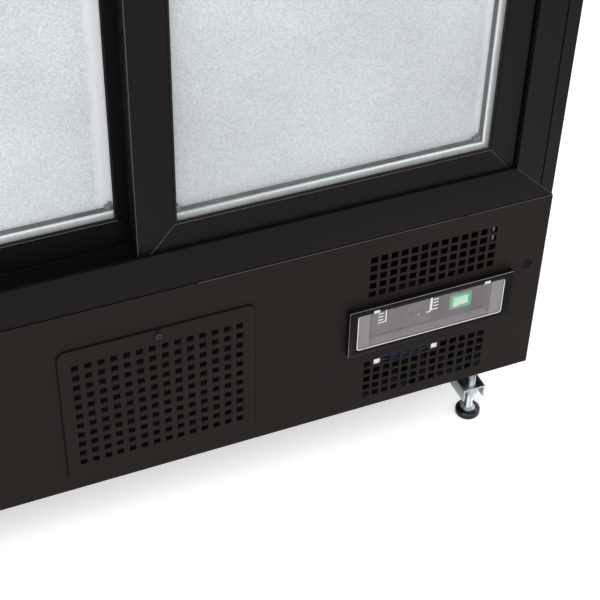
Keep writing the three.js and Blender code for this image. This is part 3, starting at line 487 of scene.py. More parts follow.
def mesh_of(form):
    mesh = bpy.data.meshes.new("form")
    form.to_mesh(mesh)
    form.free()
    return mesh


def smooth(mesh, sharp_from):
    mesh.shade_smooth()
    mesh.set_sharp_from_angle(angle=math.radians(sharp_from))
    return mesh


def round_edges(piece, width, segments=2):
    bevel = piece.modifiers.new("edges", "BEVEL")
    bevel.width = width
    bevel.segments = segments
    bevel.limit_method = "ANGLE"
    bevel.angle_limit = math.radians(30)
    bevel.harden_normals = True
    piece.data.shade_smooth()


def refine(node, edge, finish=None, segments=2):
    """A finer copy of a node: flat faces merged into one, sharp edges rounded."""
    form = bmesh.new()
    form.from_mesh(frame["nodes"][node].data)
    bmesh.ops.remove_doubles(form, verts=form.verts, dist=0.002 * MM)
    bmesh.ops.dissolve_limit(form, angle_limit=math.radians(0.4), verts=form.verts, edges=form.edges)
    round_edges(stand_in(node, node + "_skin", mesh_of(form), finish), edge, segments)


def rounded_loop(x0, x1, z0, z1, radius=0.0, steps=6):
    """The corners of a rectangle, with round corners, anticlockwise."""
    if radius <= 0:
        return [(x0, z0), (x1, z0), (x1, z1), (x0, z1)]
    left, right, bottom, top = x0 + radius, x1 - radius, z0 + radius, z1 - radius
    points = []
    for corner, (cx, cz) in enumerate([(right, bottom), (right, top), (left, top), (left, bottom)]):
        for step in range(steps + 1):
            angle = math.radians(-90 + 90 * corner + 90 * step / steps)
            points.append((cx + radius * math.cos(angle), cz + radius * math.sin(angle)))
    return points


def inset_loop(low, high, inset, radius=0.0, steps=6):
    """The outline of a box seen from the front, drawn in by an inset."""
    return rounded_loop(low[0] + inset, high[0] - inset, low[2] + inset, high[2] - inset, radius, steps)


def circle_loop(cx, cz, radius, sides=32):
    turn = 2 * math.pi / sides
    return [(cx + radius * math.cos(i * turn), cz + radius * math.sin(i * turn)) for i in range(sides)]


def curve_mesh(lines, closed, **settings):
    """The mesh of a curve that follows lists of points."""
    curve = bpy.data.curves.new("lines", "CURVE")
    for key, value in settings.items():
        setattr(curve, key, value)
    for line in lines:
        spline = curve.splines.new("POLY")
        spline.points.add(len(line) - 1)
        for point, place in zip(spline.points, line):
            point.co = Vector(place).to_4d()
        spline.use_cyclic_u = closed
    holder = bpy.data.objects.new("lines", curve)
    bpy.context.scene.collection.objects.link(holder)
    graph = bpy.context.evaluated_depsgraph_get()
    mesh = bpy.data.meshes.new_from_object(holder.evaluated_get(graph))
    bpy.data.objects.remove(holder)
    return mesh


def plate_mesh(loops, front, thickness, edge):
    """A flat plate facing the front, with rounded edges. The loops are drawn in X and Z, already
    set back by the edge: the outline and any holes."""
    swell = {"extrude": thickness / 2 - edge, "bevel_depth": edge, "bevel_resolution": 1}
    mesh = curve_mesh(loops, True, dimensions="2D", fill_mode="BOTH", **swell)
    mesh.transform(Matrix.Translation((0, front + thickness / 2, 0)) @ Matrix.Rotation(math.pi / 2, 4, "X"))
    return mesh


def tube_mesh(runs, radius):
    """Round bars along lists of points."""
    swell = {"bevel_depth": radius, "bevel_resolution": 3, "use_fill_caps": True}
    return curve_mesh(runs, False, dimensions="3D", **swell)


def box_mesh(corners):
    """Boxes, each between its lowest and highest corner."""
    form = bmesh.new()
    for low, high in corners:
        made = bmesh.ops.create_cube(form, size=1)["verts"]
        bmesh.ops.scale(form, vec=[b - a for a, b in zip(low, high)], verts=made)
        bmesh.ops.translate(form, vec=[(a + b) / 2 for a, b in zip(low, high)], verts=made)
    return mesh_of(form)


def lathe_mesh(profile, centre, axis="Z", sides=48):
    """A turned piece: the profile is (radius, height) pairs from axis to axis."""
    form = bmesh.new()
    verts = [form.verts.new((r, 0, z)) for r, z in profile]
    edges = [form.edges.new(pair) for pair in zip(verts, verts[1:])]
    spin = dict(axis=(0, 0, 1), cent=(0, 0, 0), angle=2 * math.pi, steps=sides, use_merge=True)
    bmesh.ops.spin(form, geom=verts + edges, **spin)
    bmesh.ops.remove_doubles(form, verts=form.verts, dist=1e-7)
    bmesh.ops.recalc_face_normals(form, faces=form.faces)
    if axis == "Y":
        bmesh.ops.rotate(form, cent=(0, 0, 0), matrix=Matrix.Rotation(math.pi / 2, 3, "X"), verts=form.verts)
    bmesh.ops.translate(form, vec=centre, verts=form.verts)
    return smooth(mesh_of(form), 32)


def smooth_run(points, steps=6):
    """More points along a path, with its corners rounded off."""
    places = [Vector(p) for p in points]
    run = [places[0]]
    for a, b, c in zip(places, places[1:], places[2:]):
        start, end = (a + b) / 2, (b + c) / 2
        run += [start.lerp(b, t / steps).lerp(b.lerp(end, t / steps), t / steps) for t in range(steps + 1)]
    return run + [places[-1]]


def edge_lines(name, body, runs, radius=0.3 * MM):
    """Thin lighter lines along edges: painted highlights where rounded edges catch the light."""
    show(name, tube_mesh(runs, radius), body, "black_aluminium", "highlight_grey_metal")


def centre_of(node):
    low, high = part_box(node)
    return [(a + b) / 2 for a, b in zip(low, high)]


# ---- Cabinet ----
# Radius of the hole for the cord's gland, and how high the slots are centred on the sheet.
GLAND_HOLE = 9.3 * MM
LOUVRE_LEVEL = 120 * MM
LOUVRES = {"columns": 6, "rows": 6, "pitch": (74 * MM, 22 * MM), "size": (60 * MM, 6 * MM)}
BACK_SCREWS = {"rows": 6, "radius": 3.4 * MM, "inset": 12 * MM}


def grid(spec, cx, cz):
    """The centres of a grid of holes."""
    (across, up), columns, rows = spec["pitch"], spec["columns"], spec["rows"]
    for row in range(rows):
        for column in range(columns):
            yield cx + (column - (columns - 1) / 2) * across, cz + (row - (rows - 1) / 2) * up


class FRIDGE_OT_cabinet(bpy.types.Operator):
    """Finish the worktop, side skins, back, liner and foam"""

    bl_idname = "fridge.cabinet"
    bl_label = "Cabinet"

    def execute(self, context):
        sizes = context.scene.fridge_sizes
        refine("top_panel", sizes.fold_edge, segments=4)
        for side in ("left", "right"):
            refine("side_panel_" + side, sizes.sheet_edge)
        back_panel()
        refine("cord_gland", 0.5 * MM)
        refine("inner_liner", 1.2 * MM)
        refine("bay_ceiling", sizes.sheet_edge)
        refine("foam_body", 0.5 * MM)
        back_screws()
        return {"FINISHED"}


def back_panel():
    """The back sheet, with rows of slots under pressed hoods."""
    low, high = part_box("back_panel")
    edge, corner = 0.25 * MM, 2 * MM
    gland = centre_of("cord_gland")
    wide, tall = LOUVRES["size"]
    loops = [inset_loop(low, high, edge), circle_loop(gland[0], gland[2], GLAND_HOLE + edge)]
    hoods = bmesh.new()
    for x, z in grid(LOUVRES, (low[0] + high[0]) / 2, low[2] + LOUVRE_LEVEL):
        x0, x1, z0, z1 = x - wide / 2, x + wide / 2, z - tall / 2, z + tall / 2
        loops.append(rounded_loop(x0 - edge, x1 + edge, z0 - edge, z1 + edge, corner, 3))
        add_hood(hoods, (x0, x1), high[1], z0, z1)
    mesh = plate_mesh(loops, low[1], high[1] - low[1], edge)
    stand_in("back_panel", "back_sheet", mesh)
    round_edges(show("back_hoods", mesh_of(hoods), "cabinet", "black_paint"), 0.4 * MM)


def add_hood(form, across, back, z0, z1):
    """A pressed hood over a slot, open at its lower edge."""
    top, rise, wall = z1 + 4 * MM, 4 * MM, 0.8 * MM
    outline = [(back, top), (back + rise, z0 + MM), (back + rise - wall, z0 + MM), (back, top - 2 * wall)]
    left, right = [[form.verts.new((x, y, z)) for y, z in outline] for x in across]
    form.faces.new(left)
    form.faces.new(reversed(right))
    for i in range(len(outline)):
        form.faces.new((left[i], left[i - 1], right[i - 1], right[i]))
    bmesh.ops.recalc_face_normals(form, faces=form.faces)


def back_screws():
    """Domed screws along the edges of the back panel."""
    low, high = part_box("back_panel")
    form = bmesh.new()
    rows, radius, inset = BACK_SCREWS["rows"], BACK_SCREWS["radius"], BACK_SCREWS["inset"]
    for x in (low[0] + inset, high[0] - inset):
        for row in range(rows):
            z = low[2] + inset + row * (high[2] - low[2] - 3 * inset) / (rows - 1)
            add_screw_head(form, x, high[1], z, radius)
    bmesh.ops.recalc_face_normals(form, faces=form.faces)
    show("back_screws", smooth(mesh_of(form), 40), "cabinet", "zinc")


def add_screw_head(form, x, back, z, radius):
    height = 0.55 * radius
    rings = []
    for share, rise in [(1, 0), (1, 0.35), (0.84, 0.74), (0.5, 0.95)]:
        ring = circle_loop(x, z, share * radius, 20)
        rings.append([form.verts.new((px, back + rise * height, pz)) for px, pz in ring])
    for lower, upper in zip(rings, rings[1:]):
        for i in range(len(lower)):
            form.faces.new((lower[i], lower[i - 1], upper[i - 1], upper[i]))
    form.faces.new(rings[0])
    form.faces.new(rings[-1])


class FRIDGE_OT_surround(bpy.types.Operator):
    """Finish the mitred door surround"""

    bl_idname = "fridge.surround"
    bl_label = "Door surround"

    def execute(self, context):
        for side in SIDES:
            refine("surround_" + side, context.scene.fridge_sizes.profile_edge)
        low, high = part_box("surround_bottom")[0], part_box("surround_top")[1]
        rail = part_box("surround_bottom")[1][2] - low[2]
        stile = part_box("surround_left")[1][0] - low[0]
        y = low[1] + 0.15 * MM
        runs = [
            [(x, y, z), (x + side * stile, y, z + up * rail)]
            for x, side in ((low[0], 1), (high[0], -1))
            for z, up in ((low[2], 1), (high[2], -1))
        ]
        # Painted highlights along the four mitres of the surround.
        edge_lines("surround_mitres", "cabinet", runs, 0.2 * MM)
        return {"FINISHED"}


# ---- Doors ----
# What shows inside the frame: the spacer's width, then the line of sealant.
SPACER_SHOWN = 6 * MM
SEALANT_LINE = 2 * MM


class FRIDGE_OT_doors(bpy.types.Operator):
    """Finish both sliding doors, with their glazing, beads and brush"""

    bl_idname = "fridge.doors"
    bl_label = "Sliding doors"

    def execute(self, context):
        sizes = context.scene.fridge_sizes
        for door in DOORS:
            for side in SIDES:
                refine(f"{door}_frame_{side}", sizes.profile_edge)
            refine(door + "_outer_pane", 0.3 * MM, "clear_glass")
            refine(door + "_inner_pane", 0.3 * MM, door + "_mist")
            spacer(door)
            glazing_bead(door, sizes.gasket)
            corner_keys(door)
            sealant(door)
            door_edges(door)
        meeting_brush()
        return {"FINISHED"}


def door_opening(door):
    """The inner edges of a door's frame: x0, x1, z0, z1."""
    left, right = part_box(door + "_frame_left")[1][0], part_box(door + "_frame_right")[0][0]
    bottom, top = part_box(door + "_frame_bottom")[1][2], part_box(door + "_frame_top")[0][2]
    return left, right, bottom, top


def shown_glass(door, reach):
    """The opening less a margin, except at the meeting stile, which hides the pane's edge."""
    x0, x1, z0, z1 = door_opening(door)
    left, right = (-0.6 * MM, reach) if door == "right_door" else (reach, -0.6 * MM)
    return x0 + left, x1 - right, z0 + reach, z1 - reach


def glazing_bead(door, width):
    """A thin black bead that seals the outer pane to the frame."""
    x0, x1, z0, z1 = door_opening(door)
    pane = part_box(door + "_outer_pane")[0][1]
    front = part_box(door + "_frame_left")[0][1] + 0.5 * MM
    edge, gap = 0.3 * MM, 0.1 * MM
    loops = [
        rounded_loop(x0 + inset, x1 - inset, z0 + inset, z1 - inset)
        for inset in (gap + edge, width - edge)
    ]
    show(door + "_glazing_bead", plate_mesh(loops, front, pane - front - gap, edge), door, "rubber")


def spacer(door):
    """The spacer bar between the panes."""
    node = door + "_glass_spacer"
    low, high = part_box(node)
    edge = 0.5 * MM
    loops = [inset_loop(low, high, edge), rounded_loop(*shown_glass(door, SPACER_SHOWN - edge))]
    stand_in(node, node + "_bar", plate_mesh(loops, low[1], high[1] - low[1], edge), "spacer")


def sealant(door):
    """The dark line of sealant inside the spacer."""
    low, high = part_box(door + "_glass_spacer")
    start = SPACER_SHOWN + 0.1 * MM
    x0, x1, z0, z1 = shown_glass(door, start + SEALANT_LINE)
    outer = shown_glass(door, start)
    y0, y1 = low[1] + 3 * MM, high[1] - 0.2 * MM
    side = (outer[0], x0) if door == "left_door" else (x1, outer[1])
    mesh = box_mesh([
        ((x0, y0, outer[2]), (x1, y1, z0)),
        ((x0, y0, z1), (x1, y1, outer[3])),
        ((side[0], y0, outer[2]), (side[1], y1, outer[3])),
    ])
    round_edges(show(door + "_sealant", mesh, door, "rubber"), 0.3 * MM)


def door_edges(door):
    """Painted highlights along the mitres, the lower rail and the stile."""
    x0, x1, z0, z1 = door_opening(door)
    left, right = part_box(door + "_frame_left")[0][0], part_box(door + "_frame_right")[1][0]
    low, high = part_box(door + "_frame_bottom")[0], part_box(door + "_frame_top")[1]
    y = low[1] + 0.15 * MM
    stile = min(x0 - left, right - x1)
    runs = [
        [(x, y, z), (x + side * stile, y, end)]
        for x, side in ((x0, -1), (x1, 1))
        for z, end in ((z0, low[2]), (z1, high[2]))
    ]
    edge_lines(door + "_mitres", door, runs, 0.25 * MM)
    sill, side = z0 - 0.3 * MM, left + 0.4 * MM
    inner = [(x0, y, sill), (x1, y, sill)]
    outer = [(side, y + 0.2 * MM, low[2] + MM), (side, y + 0.2 * MM, high[2] - MM)]
    edge_lines(door + "_edges", door, [inner, outer])


def corner_keys(door):
    """Small keys that close the spacer's corners."""
    low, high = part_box(door + "_glass_spacer")
    left, right, _, _ = door_opening(door)
    x0, x1, z0, z1 = shown_glass(door, SPACER_SHOWN + 2.6 * MM)
    x0, x1 = max(x0, left + MM), min(x1, right - MM)
    width, height = 7 * MM, 3.2 * MM
    front, back = low[1] + 2 * MM, high[1] - 0.6 * MM
    keys = []
    for x in (x0, x1 - width):
        for z in (z0, z1 - height):
            keys.append(((x, front, z), (x + width, back, z + height)))
            keys.append(((x + width / 2, front, z), (x + width, high[1] - MM, z + 1.8 * height)))
    piece = show(door + "_corner_keys", box_mesh(keys), door, "aluminium", "highlight_grey_metal")
    round_edges(piece, 0.5 * MM)


def meeting_brush():
    """The brush on the rear door: a backing strip and fine tufts towards the front door."""
    low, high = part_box("door_brush")
    backing = low[1] + 0.55 * (high[1] - low[1])
    strips = [((low[0], backing, low[2]), high)]
    tufts = 150
    pitch = (high[2] - low[2]) / tufts
    for i in range(tufts):
        z = low[2] + i * pitch
        lean = 0.6 * MM * math.sin(i * 2.4)
        x0 = low[0] + 2 * MM + lean
        tip = low[1] + 0.25 * MM * (1 + math.sin(i * 1.7))
        strips.append(((x0, tip, z + 0.1 * pitch), (x0 + 3 * MM, backing + 0.2 * MM, z + 0.85 * pitch)))
    stand_in("door_brush", "door_brush_tufts", box_mesh(strips))


# ---- Lower front ----
# Levels are from the panel's lower edge; the controller's cut is half its width and height.
HOLE = 8 * MM
HOLE_CORNER = 0.7 * MM
SIDE_GRILLE = {"columns": 13, "rows": 5, "pitch": (11.8 * MM, 11.8 * MM)}
SIDE_GRILLE_LEVELS = (43.3 * MM, 193.2 * MM)
COVER_GRILLE = {"columns": 14, "rows": 11, "pitch": (13.55 * MM, 13.55 * MM)}
COVER_GRILLE_LEVEL = 108.5 * MM
COVER_CORNER = 9 * MM
COVER_NOTCH = 3 * MM
PANEL_SHEET = 1.2 * MM
PANEL_LIP = 12 * MM
CONTROLLER_CUT = (76.7 * MM, 25.7 * MM)
PLUG_HOLE = 6.5 * MM


class FRIDGE_OT_lower_front(bpy.types.Operator):
    """Build the punched front panel, access cover, screw and hole plug"""

    bl_idname = "fridge.lower_front"
    bl_label = "Lower front"

    def execute(self, context):
        front_panel(context.scene.fridge_sizes.sheet_edge)
        access_cover()
        condenser_filter()
        refine("access_screw", 0.25 * MM, "pad_plastic")
        hole_plug()
        panel_edge()
        return {"FINISHED"}


def square_holes(spec, cx, cz, edge):
    half = HOLE / 2 + edge
    places = grid(spec, cx, cz)
    return [rounded_loop(x - half, x + half, z - half, z + half, HOLE_CORNER, 2) for x, z in places]


def side_grilles():
    """Centres of the two grilles below and above the controller."""
    middle, bottom = centre_of("controller_bezel")[0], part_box("front_panel")[0][2]
    return [(middle, bottom + level) for level in SIDE_GRILLE_LEVELS]


def front_panel(edge):
    """The punched sheet, and its folds behind the face."""
    low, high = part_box("front_panel")
    loops = [inset_loop(low, high, edge, 0.6 * MM, 2)]
    for cx, cz in side_grilles():
        loops += square_holes(SIDE_GRILLE, cx, cz, edge)
    (x0, _, z0), (x1, _, z1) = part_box("access_cover")
    inset = 7.5 * MM
    loops.append(rounded_loop(x0 + inset, x1 - inset, z0 + 2.2 * inset, z1 - 2.1 * inset))
    cx, _, cz = centre_of("controller_bezel")
    half, tall = CONTROLLER_CUT
    loops.append(rounded_loop(cx - half, cx + half, cz - tall, cz + tall))
    plug = centre_of("hole_plug")
    loops.append(circle_loop(plug[0], plug[2], PLUG_HOLE + edge))
    stand_in("front_panel", "front_panel_face", plate_mesh(loops, low[1], PANEL_SHEET, edge))
    back, lip = low[1] + PANEL_SHEET, low[1] + PANEL_LIP
    left, right = low[0] + PANEL_SHEET, high[0] - PANEL_SHEET
    folds = box_mesh([
        ((low[0], back, low[2]), (left, high[1], high[2])),
        ((right, back, low[2]), high),
        ((left, back, low[2]), (right, lip, low[2] + PANEL_SHEET)),
        ((left, back, high[2] - PANEL_SHEET), (right, lip, high[2])),
    ])
    show("front_panel_folds", folds, "cabinet", "black_paint")


def access_cover():
    """The cover plate with its notch for the screw, a dark ring around it as painted shadow in its gap, and
    painted highlights along its upper corners.
    """
    low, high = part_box("access_cover")
    edge, arc = 0.7 * MM, 8
    outline = inset_loop(low, high, edge, COVER_CORNER - edge, arc)
    middle, top = (low[0] + high[0]) / 2, high[2] - edge
    floor = top - COVER_NOTCH + edge
    right, left = middle + COVER_NOTCH, middle - COVER_NOTCH
    upper_left = 2 * (arc + 1)
    outline[upper_left:upper_left] = [(right, top), (right, floor), (left, floor), (left, top)]
    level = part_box("front_panel")[0][2] + COVER_GRILLE_LEVEL
    loops = [outline] + square_holes(COVER_GRILLE, middle, level, 0.3 * MM)
    stand_in("access_cover", "access_cover_plate", plate_mesh(loops, low[1], high[1] - low[1], edge))
    # Painted shadow: a thin dark ring on the panel's face, which shows as a dark line around the cover.
    reach, seat = 1.3 * MM, 0.45 * MM
    loops = [inset_loop(low, high, -side, COVER_CORNER + side, arc) for side in (reach, -3 * reach)]
    mesh = plate_mesh(loops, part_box("front_panel")[0][1] - seat, seat, 0.1 * MM)
    show("access_cover_seat", mesh, "cabinet", "black_plastic", "bezel_plastic")
    # Painted highlights along the cover's upper corners.
    crest = [(x, low[1] + 0.4 * MM, z) for x, z in outline if z > high[2] - 1.2 * COVER_CORNER]
    near_left = sorted(place for place in crest if place[0] < middle - 2 * COVER_NOTCH)
    near_right = sorted(place for place in crest if place[0] > middle + 2 * COVER_NOTCH)
    edge_lines("access_cover_edge", "cabinet", [near_left, near_right])


def condenser_filter():
    """A pleated black filter behind the cover, which keeps dust off the condenser; its very dark sheet is
    also painted shade that keeps the holes black.
    """
    low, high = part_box("access_cover")
    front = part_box("front_panel")[0][1] + 5 * MM
    inset, pleat, depth = 9 * MM, 3 * MM, 2.5 * MM
    bottom, top = low[2] + 1.5 * inset, high[2] - 1.9 * inset
    form = bmesh.new()
    rows = []
    for i in range(int((top - bottom) / pleat) + 1):
        y, z = front + (i % 2) * depth, bottom + i * pleat
        rows.append([form.verts.new((x, y, z)) for x in (low[0] + inset, high[0] - inset)])
    for lower, upper in zip(rows, rows[1:]):
        form.faces.new((*lower, *reversed(upper)))
    piece = show("condenser_filter", mesh_of(form), "cabinet", "rubber")
    piece.modifiers.new("sheet", "SOLIDIFY").thickness = 0.4 * MM


def hole_plug():
    """A moulded plug: a shallow dished button set into the panel."""
    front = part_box("hole_plug")[0][1] - 0.2 * MM
    cx, _, cz = centre_of("hole_plug")
    profile = [(0, 2.2), (3.6, 1.6), (5.0, 0.6), (5.7, 0.2), (6.1, 0.6), (6.1, 4.2), (0, 4.2)]
    turned = [(r * MM, -z * MM) for r, z in profile]
    stand_in("hole_plug", "hole_plug_button", lathe_mesh(turned, (cx, front, cz), "Y", 40), "bezel_plastic")


def panel_edge():
    """A painted highlight along the panel's upper edge, broken by the slot where it hooks on."""
    low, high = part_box("front_panel")
    y, z = low[1] + 0.35 * MM, high[2] - 0.15 * MM
    slot = centre_of("controller_bezel")[0] + 30 * MM
    runs = [[(0.1 * high[0], y, z), (slot, y, z)], [(slot + 6 * MM, y, z), (high[0] - MM, y, z)]]
    edge_lines("front_panel_edge", "cabinet", runs)


# ---- Controller ----
# The recess behind the flap, from the bezel's centre and the panel's face.
RECESS = {"half": 74 * MM, "reach": 88.5 * MM, "floor": 23 * MM, "depth": 4.5 * MM}
HINGE_AT = 67 * MM
MARK_TOP = 19 * MM
# Leader lines as (x, drop, run), and the first bar of each group as (x, drop), in millimetres.
LEADERS = ((-52, 19, -9), (2, 22, -14), (3.5, 20, 8))
BARS = ((-61, 6), (6, 6))


class FRIDGE_OT_controller(bpy.types.Operator):
    """Build the controller: bezel, flap, thermostat, buttons, rocker and printed marks"""

    bl_idname = "fridge.controller"
    bl_label = "Controller"

    def execute(self, context):
        refine("controller_bezel", context.scene.fridge_sizes.moulded_edge, "bezel_plastic", 3)
        refine("thermostat", 0.3 * MM, "recess_plastic")
        for key in ("set", "up"):
            refine("thermostat_button_" + key, 0.3 * MM)
        refine("rocker_housing", 0.4 * MM, "housing")
        refine("rocker", 0.5 * MM)
        refine("controller_flap", 0.35 * MM)
        flap_edges()
        flap_backing()
        control_marks()
        bezel_edges()
        return {"FINISHED"}


def flap_edges():
    """The flap's rim at its sides and bottom, and its two hinge tabs, made to glow as painted highlights."""
    low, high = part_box("controller_flap")
    y = low[1] + 0.2 * MM
    inset, corner = 0.7 * MM, 2 * MM
    x0, x1, z0, z1 = low[0] + inset, high[0] - inset, low[2] + inset, high[2] - 6 * MM
    run = [(x0, y, z1), (x0, y, z0 + corner), (x0 + corner, y, z0)]
    run += [(x1 - corner, y, z0), (x1, y, z0 + corner), (x1, y, z1)]
    mesh = tube_mesh([run], 0.5 * MM)
    show("controller_flap_rim", mesh, "controller_flap", "clear_plastic", "flap_edge_highlight")
    half, front, back = 3.5 * MM, low[1] + 0.1 * MM, low[1] + 0.7 * MM
    middle = (low[0] + high[0]) / 2
    mesh = box_mesh([
        ((x - half, front, high[2] - 4.5 * MM), (x + half, back, high[2] - MM))
        for x in (middle - HINGE_AT, middle + HINGE_AT)
    ])
    piece = show("controller_flap_hinges", mesh, "controller_flap", "clear_plastic", "flap_edge_highlight")
    round_edges(piece, 0.25 * MM)


def flap_backing():
    """Pale faces behind the flap: a strip at each side of the recess, and its lower wall."""
    low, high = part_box("controller_flap")
    cx, _, cz = centre_of("controller_bezel")
    half, reach, floor = RECESS["half"], RECESS["reach"], cz - RECESS["floor"]
    back = high[1] + 0.45 * MM
    recess_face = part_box("front_panel")[0][1] + RECESS["depth"]
    faces = [
        ((x, back - 0.25 * MM, low[2] + MM), (x + reach - half, back, high[2] - 5 * MM))
        for x in (cx - reach, cx + half)
    ]
    faces.append(((cx - half, back, floor), (cx + half, recess_face, floor + 0.3 * MM)))
    show("flap_backing", box_mesh(faces), "cabinet", "black_plastic", "pale_grey")


def control_marks():
    """Fine plain leader lines and bars by the controls: print that glows as painted light."""
    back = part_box("thermostat")[0][1] - 0.05 * MM
    line, front = 0.9 * MM, back - 0.2 * MM
    cx, _, cz = centre_of("controller_bezel")
    top = cz + MARK_TOP
    marks = []
    for x, drop, run in LEADERS:
        x0, z = cx + x * MM, top - drop * MM
        ends = sorted((x0 + line / 2, x0 + run * MM))
        marks.append(((x0, front, z), (x0 + line, back, top)))
        marks.append(((ends[0], front, z), (ends[1], back, z + line)))
    for x, first in BARS:
        for row in range(3):
            x0, z = cx + x * MM, top - (first + 4.5 * row) * MM
            marks.append(((x0, front, z), (x0 + 6 * MM, back, z + line)))
    show("control_marks", box_mesh(marks), "cabinet", "white_plastic", "print")


def bezel_edges():
    """Painted highlights that glow along the top and left edges of the bezel."""
    low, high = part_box("controller_bezel")
    y, inset = low[1] + 0.45 * MM, 0.15 * MM
    x0, x1, z0, z1 = low[0] + inset, high[0] - inset, low[2] + inset, high[2] - inset
    mesh = tube_mesh([[(x0, y, z0), (x0, y, z1), (x1, y, z1)]], 0.32 * MM)
    show("controller_bezel_edges", mesh, "cabinet", "black_plastic", "bezel_edge_highlight")


# ---- Undercarriage ----
STUD_RADIUS = 5 * MM
COLLAR_HEIGHT = 4 * MM
# The pad's own sizes, in millimetres: its seat's radius, and how far its rim is drawn in.
PAD_SEAT = 9.0
PAD_INSET = 0.9


class FRIDGE_OT_undercarriage(bpy.types.Operator):
    """Build the runners, levelling feet and chassis tray"""

    bl_idname = "fridge.undercarriage"
    bl_label = "Runners and feet"

    def execute(self, context):
        sizes = context.scene.fridge_sizes
        for side in ("left", "right"):
            refine("runner_" + side, 0.7 * MM, segments=3)
        refine("chassis_tray", 0.3 * MM)
        for corner in CORNERS:
            levelling_pad("foot_pad_" + corner)
            threaded_stud("foot_stud_" + corner, sizes.thread_pitch, sizes.thread_depth)
        return {"FINISHED"}


def levelling_pad(node):
    """A turned plastic pad with a raised seat for the stud; its profile is in millimetres."""
    low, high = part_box(node)
    x, y, _ = centre_of(node)
    rim = (high[0] - low[0]) / 2 / MM - PAD_INSET
    top = (high[2] - low[2]) / MM
    profile = [(0, 0), (rim - 1.6, 0), (rim - 0.5, 0.3), (rim, 1.2), (rim, top - 3.6)]
    profile += [(rim - 0.4, top - 2.6), (rim - 1.6, top - 1.7), (rim - 3.2, top - 1.3)]
    profile += [(PAD_SEAT + 1.6, top - 0.6), (PAD_SEAT + 0.6, top), (PAD_SEAT, top - 0.4)]
    profile += [(PAD_SEAT, top - 4), (0, top - 4)]
    mesh = lathe_mesh([(r * MM, z * MM) for r, z in profile], (x, y, low[2]), sides=64)
    stand_in(node, node + "_turned", mesh, "pad_plastic")


def threaded_stud(node, pitch, depth):
    """A zinc stud: a collar at the pad, and ridges of thread above it."""
    low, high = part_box(node)
    x, y, _ = centre_of(node)
    collar, height = (high[0] - low[0]) / 2, high[2] - low[2]
    ridge, root = STUD_RADIUS, STUD_RADIUS - depth
    z = COLLAR_HEIGHT + 2 * MM
    profile = [(0, 0), (collar - 0.6 * MM, 0), (collar, 0.6 * MM), (collar, COLLAR_HEIGHT - MM)]
    profile += [(ridge + 1.5 * MM, COLLAR_HEIGHT), (ridge, COLLAR_HEIGHT + 0.4 * MM), (ridge, z)]
    while z + pitch < height - MM:
        profile += [(root, z + 0.4 * pitch), (root, z + 0.55 * pitch), (ridge, z + 0.9 * pitch)]
        z += pitch
        profile.append((ridge, z))
    profile += [(ridge - 0.8 * MM, height), (0, height)]
    stand_in(node, node + "_turned", lathe_mesh(profile, (x, y, low[2]), sides=32))


# ---- Refrigeration ----
PIPE_RADIUS = 3.2 * MM
FIN = {"pitch": 2.6 * MM, "thickness": 0.4 * MM, "plate": 1.5 * MM, "margin": 3 * MM}


class FRIDGE_OT_refrigeration(bpy.types.Operator):
    """Finish the machine bay and the cooling unit, and add pipes and wiring"""

    bl_idname = "fridge.refrigeration"
    bl_label = "Refrigeration"

    def execute(self, context):
        for node in ("compressor", "condenser_fan", "fan_shroud", "evaporator_cover", "evaporator_fan"):
            refine(node, 0.5 * MM)
        for node in ("condenser", "evaporator"):
            fine_fins(node)
        refine("drain_tray", 0.6 * MM)
        copper_pipes()
        wiring()
        return {"FINISHED"}


def fine_fins(node):
    """A coil's thin upright fins between two end plates."""
    low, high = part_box(node)
    wide = high[0] - low[0]
    count = int(wide / FIN["pitch"])
    plates = []
    for i in range(count):
        x = low[0] + FIN["margin"] + i * (wide - 2 * FIN["margin"]) / count
        plates.append(((x, low[1], low[2]), (x + FIN["thickness"], high[1], high[2])))
    for x in (low[0], high[0] - FIN["plate"]):
        plates.append(((x, low[1], low[2]), (x + FIN["plate"], high[1], high[2])))
    stand_in(node, node + "_fins", box_mesh(plates))


def copper_pipes():
    """Discharge and return pipes between the compressor and the condenser."""
    (_, _, bottom), (right, back, top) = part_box("condenser")
    x, y, _ = centre_of("compressor")
    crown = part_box("compressor")[1][2] - 25 * MM
    runs = []
    for offset, level in ((0, top - 20 * MM), (18 * MM, bottom + 25 * MM)):
        start = Vector((x - 40 * MM, y - 60 * MM - offset / 2, crown - offset))
        over = start.z + 20 * MM
        runs.append(smooth_run([
            start,
            (start.x - 30 * MM, start.y - 10 * MM, over),
            (right + 42 * MM, start.y - 60 * MM, over),
            (right + 24 * MM, back + 10 * MM, level),
            (right + MM, back - 10 * MM, level),
        ]))
    show("copper_pipes", tube_mesh(runs, PIPE_RADIUS), "cabinet", "galvanised", "copper")


def wiring():
    """White terminal blocks and blue wires behind the lower grille, and a bracket behind the upper."""
    (cx, cz), (_, upper) = side_grilles()
    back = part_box("front_panel")[0][1] + 1.8 * MM
    pitch, _ = SIDE_GRILLE["pitch"]
    level = cz + 2 * pitch
    blocks = box_mesh([
        ((x - 4.5 * MM, back, level - 6 * MM), (x + 4.5 * MM, back + 9 * MM, level + 5 * MM))
        for x in (cx - 5 * pitch, cx + pitch)
    ])
    show("terminal_blocks", blocks, "cabinet", "white_plastic")
    runs = []
    for row in range(3):
        y, z = back + (4 + row) * MM, level - (4 - 3.4 * row) * MM
        sag = (cx - 2 * pitch, y - 2 * MM, z - 3 * MM)
        runs.append(smooth_run([(cx - 4.5 * pitch, y, z), sag, (cx + 0.5 * pitch, y, z)]))
    show("blue_wires", tube_mesh(runs, 1.4 * MM), "cabinet", "rubber", "wire")
    x = cx + 6 * pitch
    bracket = ((x - MM, back, upper + 0.6 * pitch), (x + 1.5 * MM, back + 12 * MM, upper + 2.4 * pitch))
    show("wire_bracket", box_mesh([bracket]), "cabinet", "galvanised")


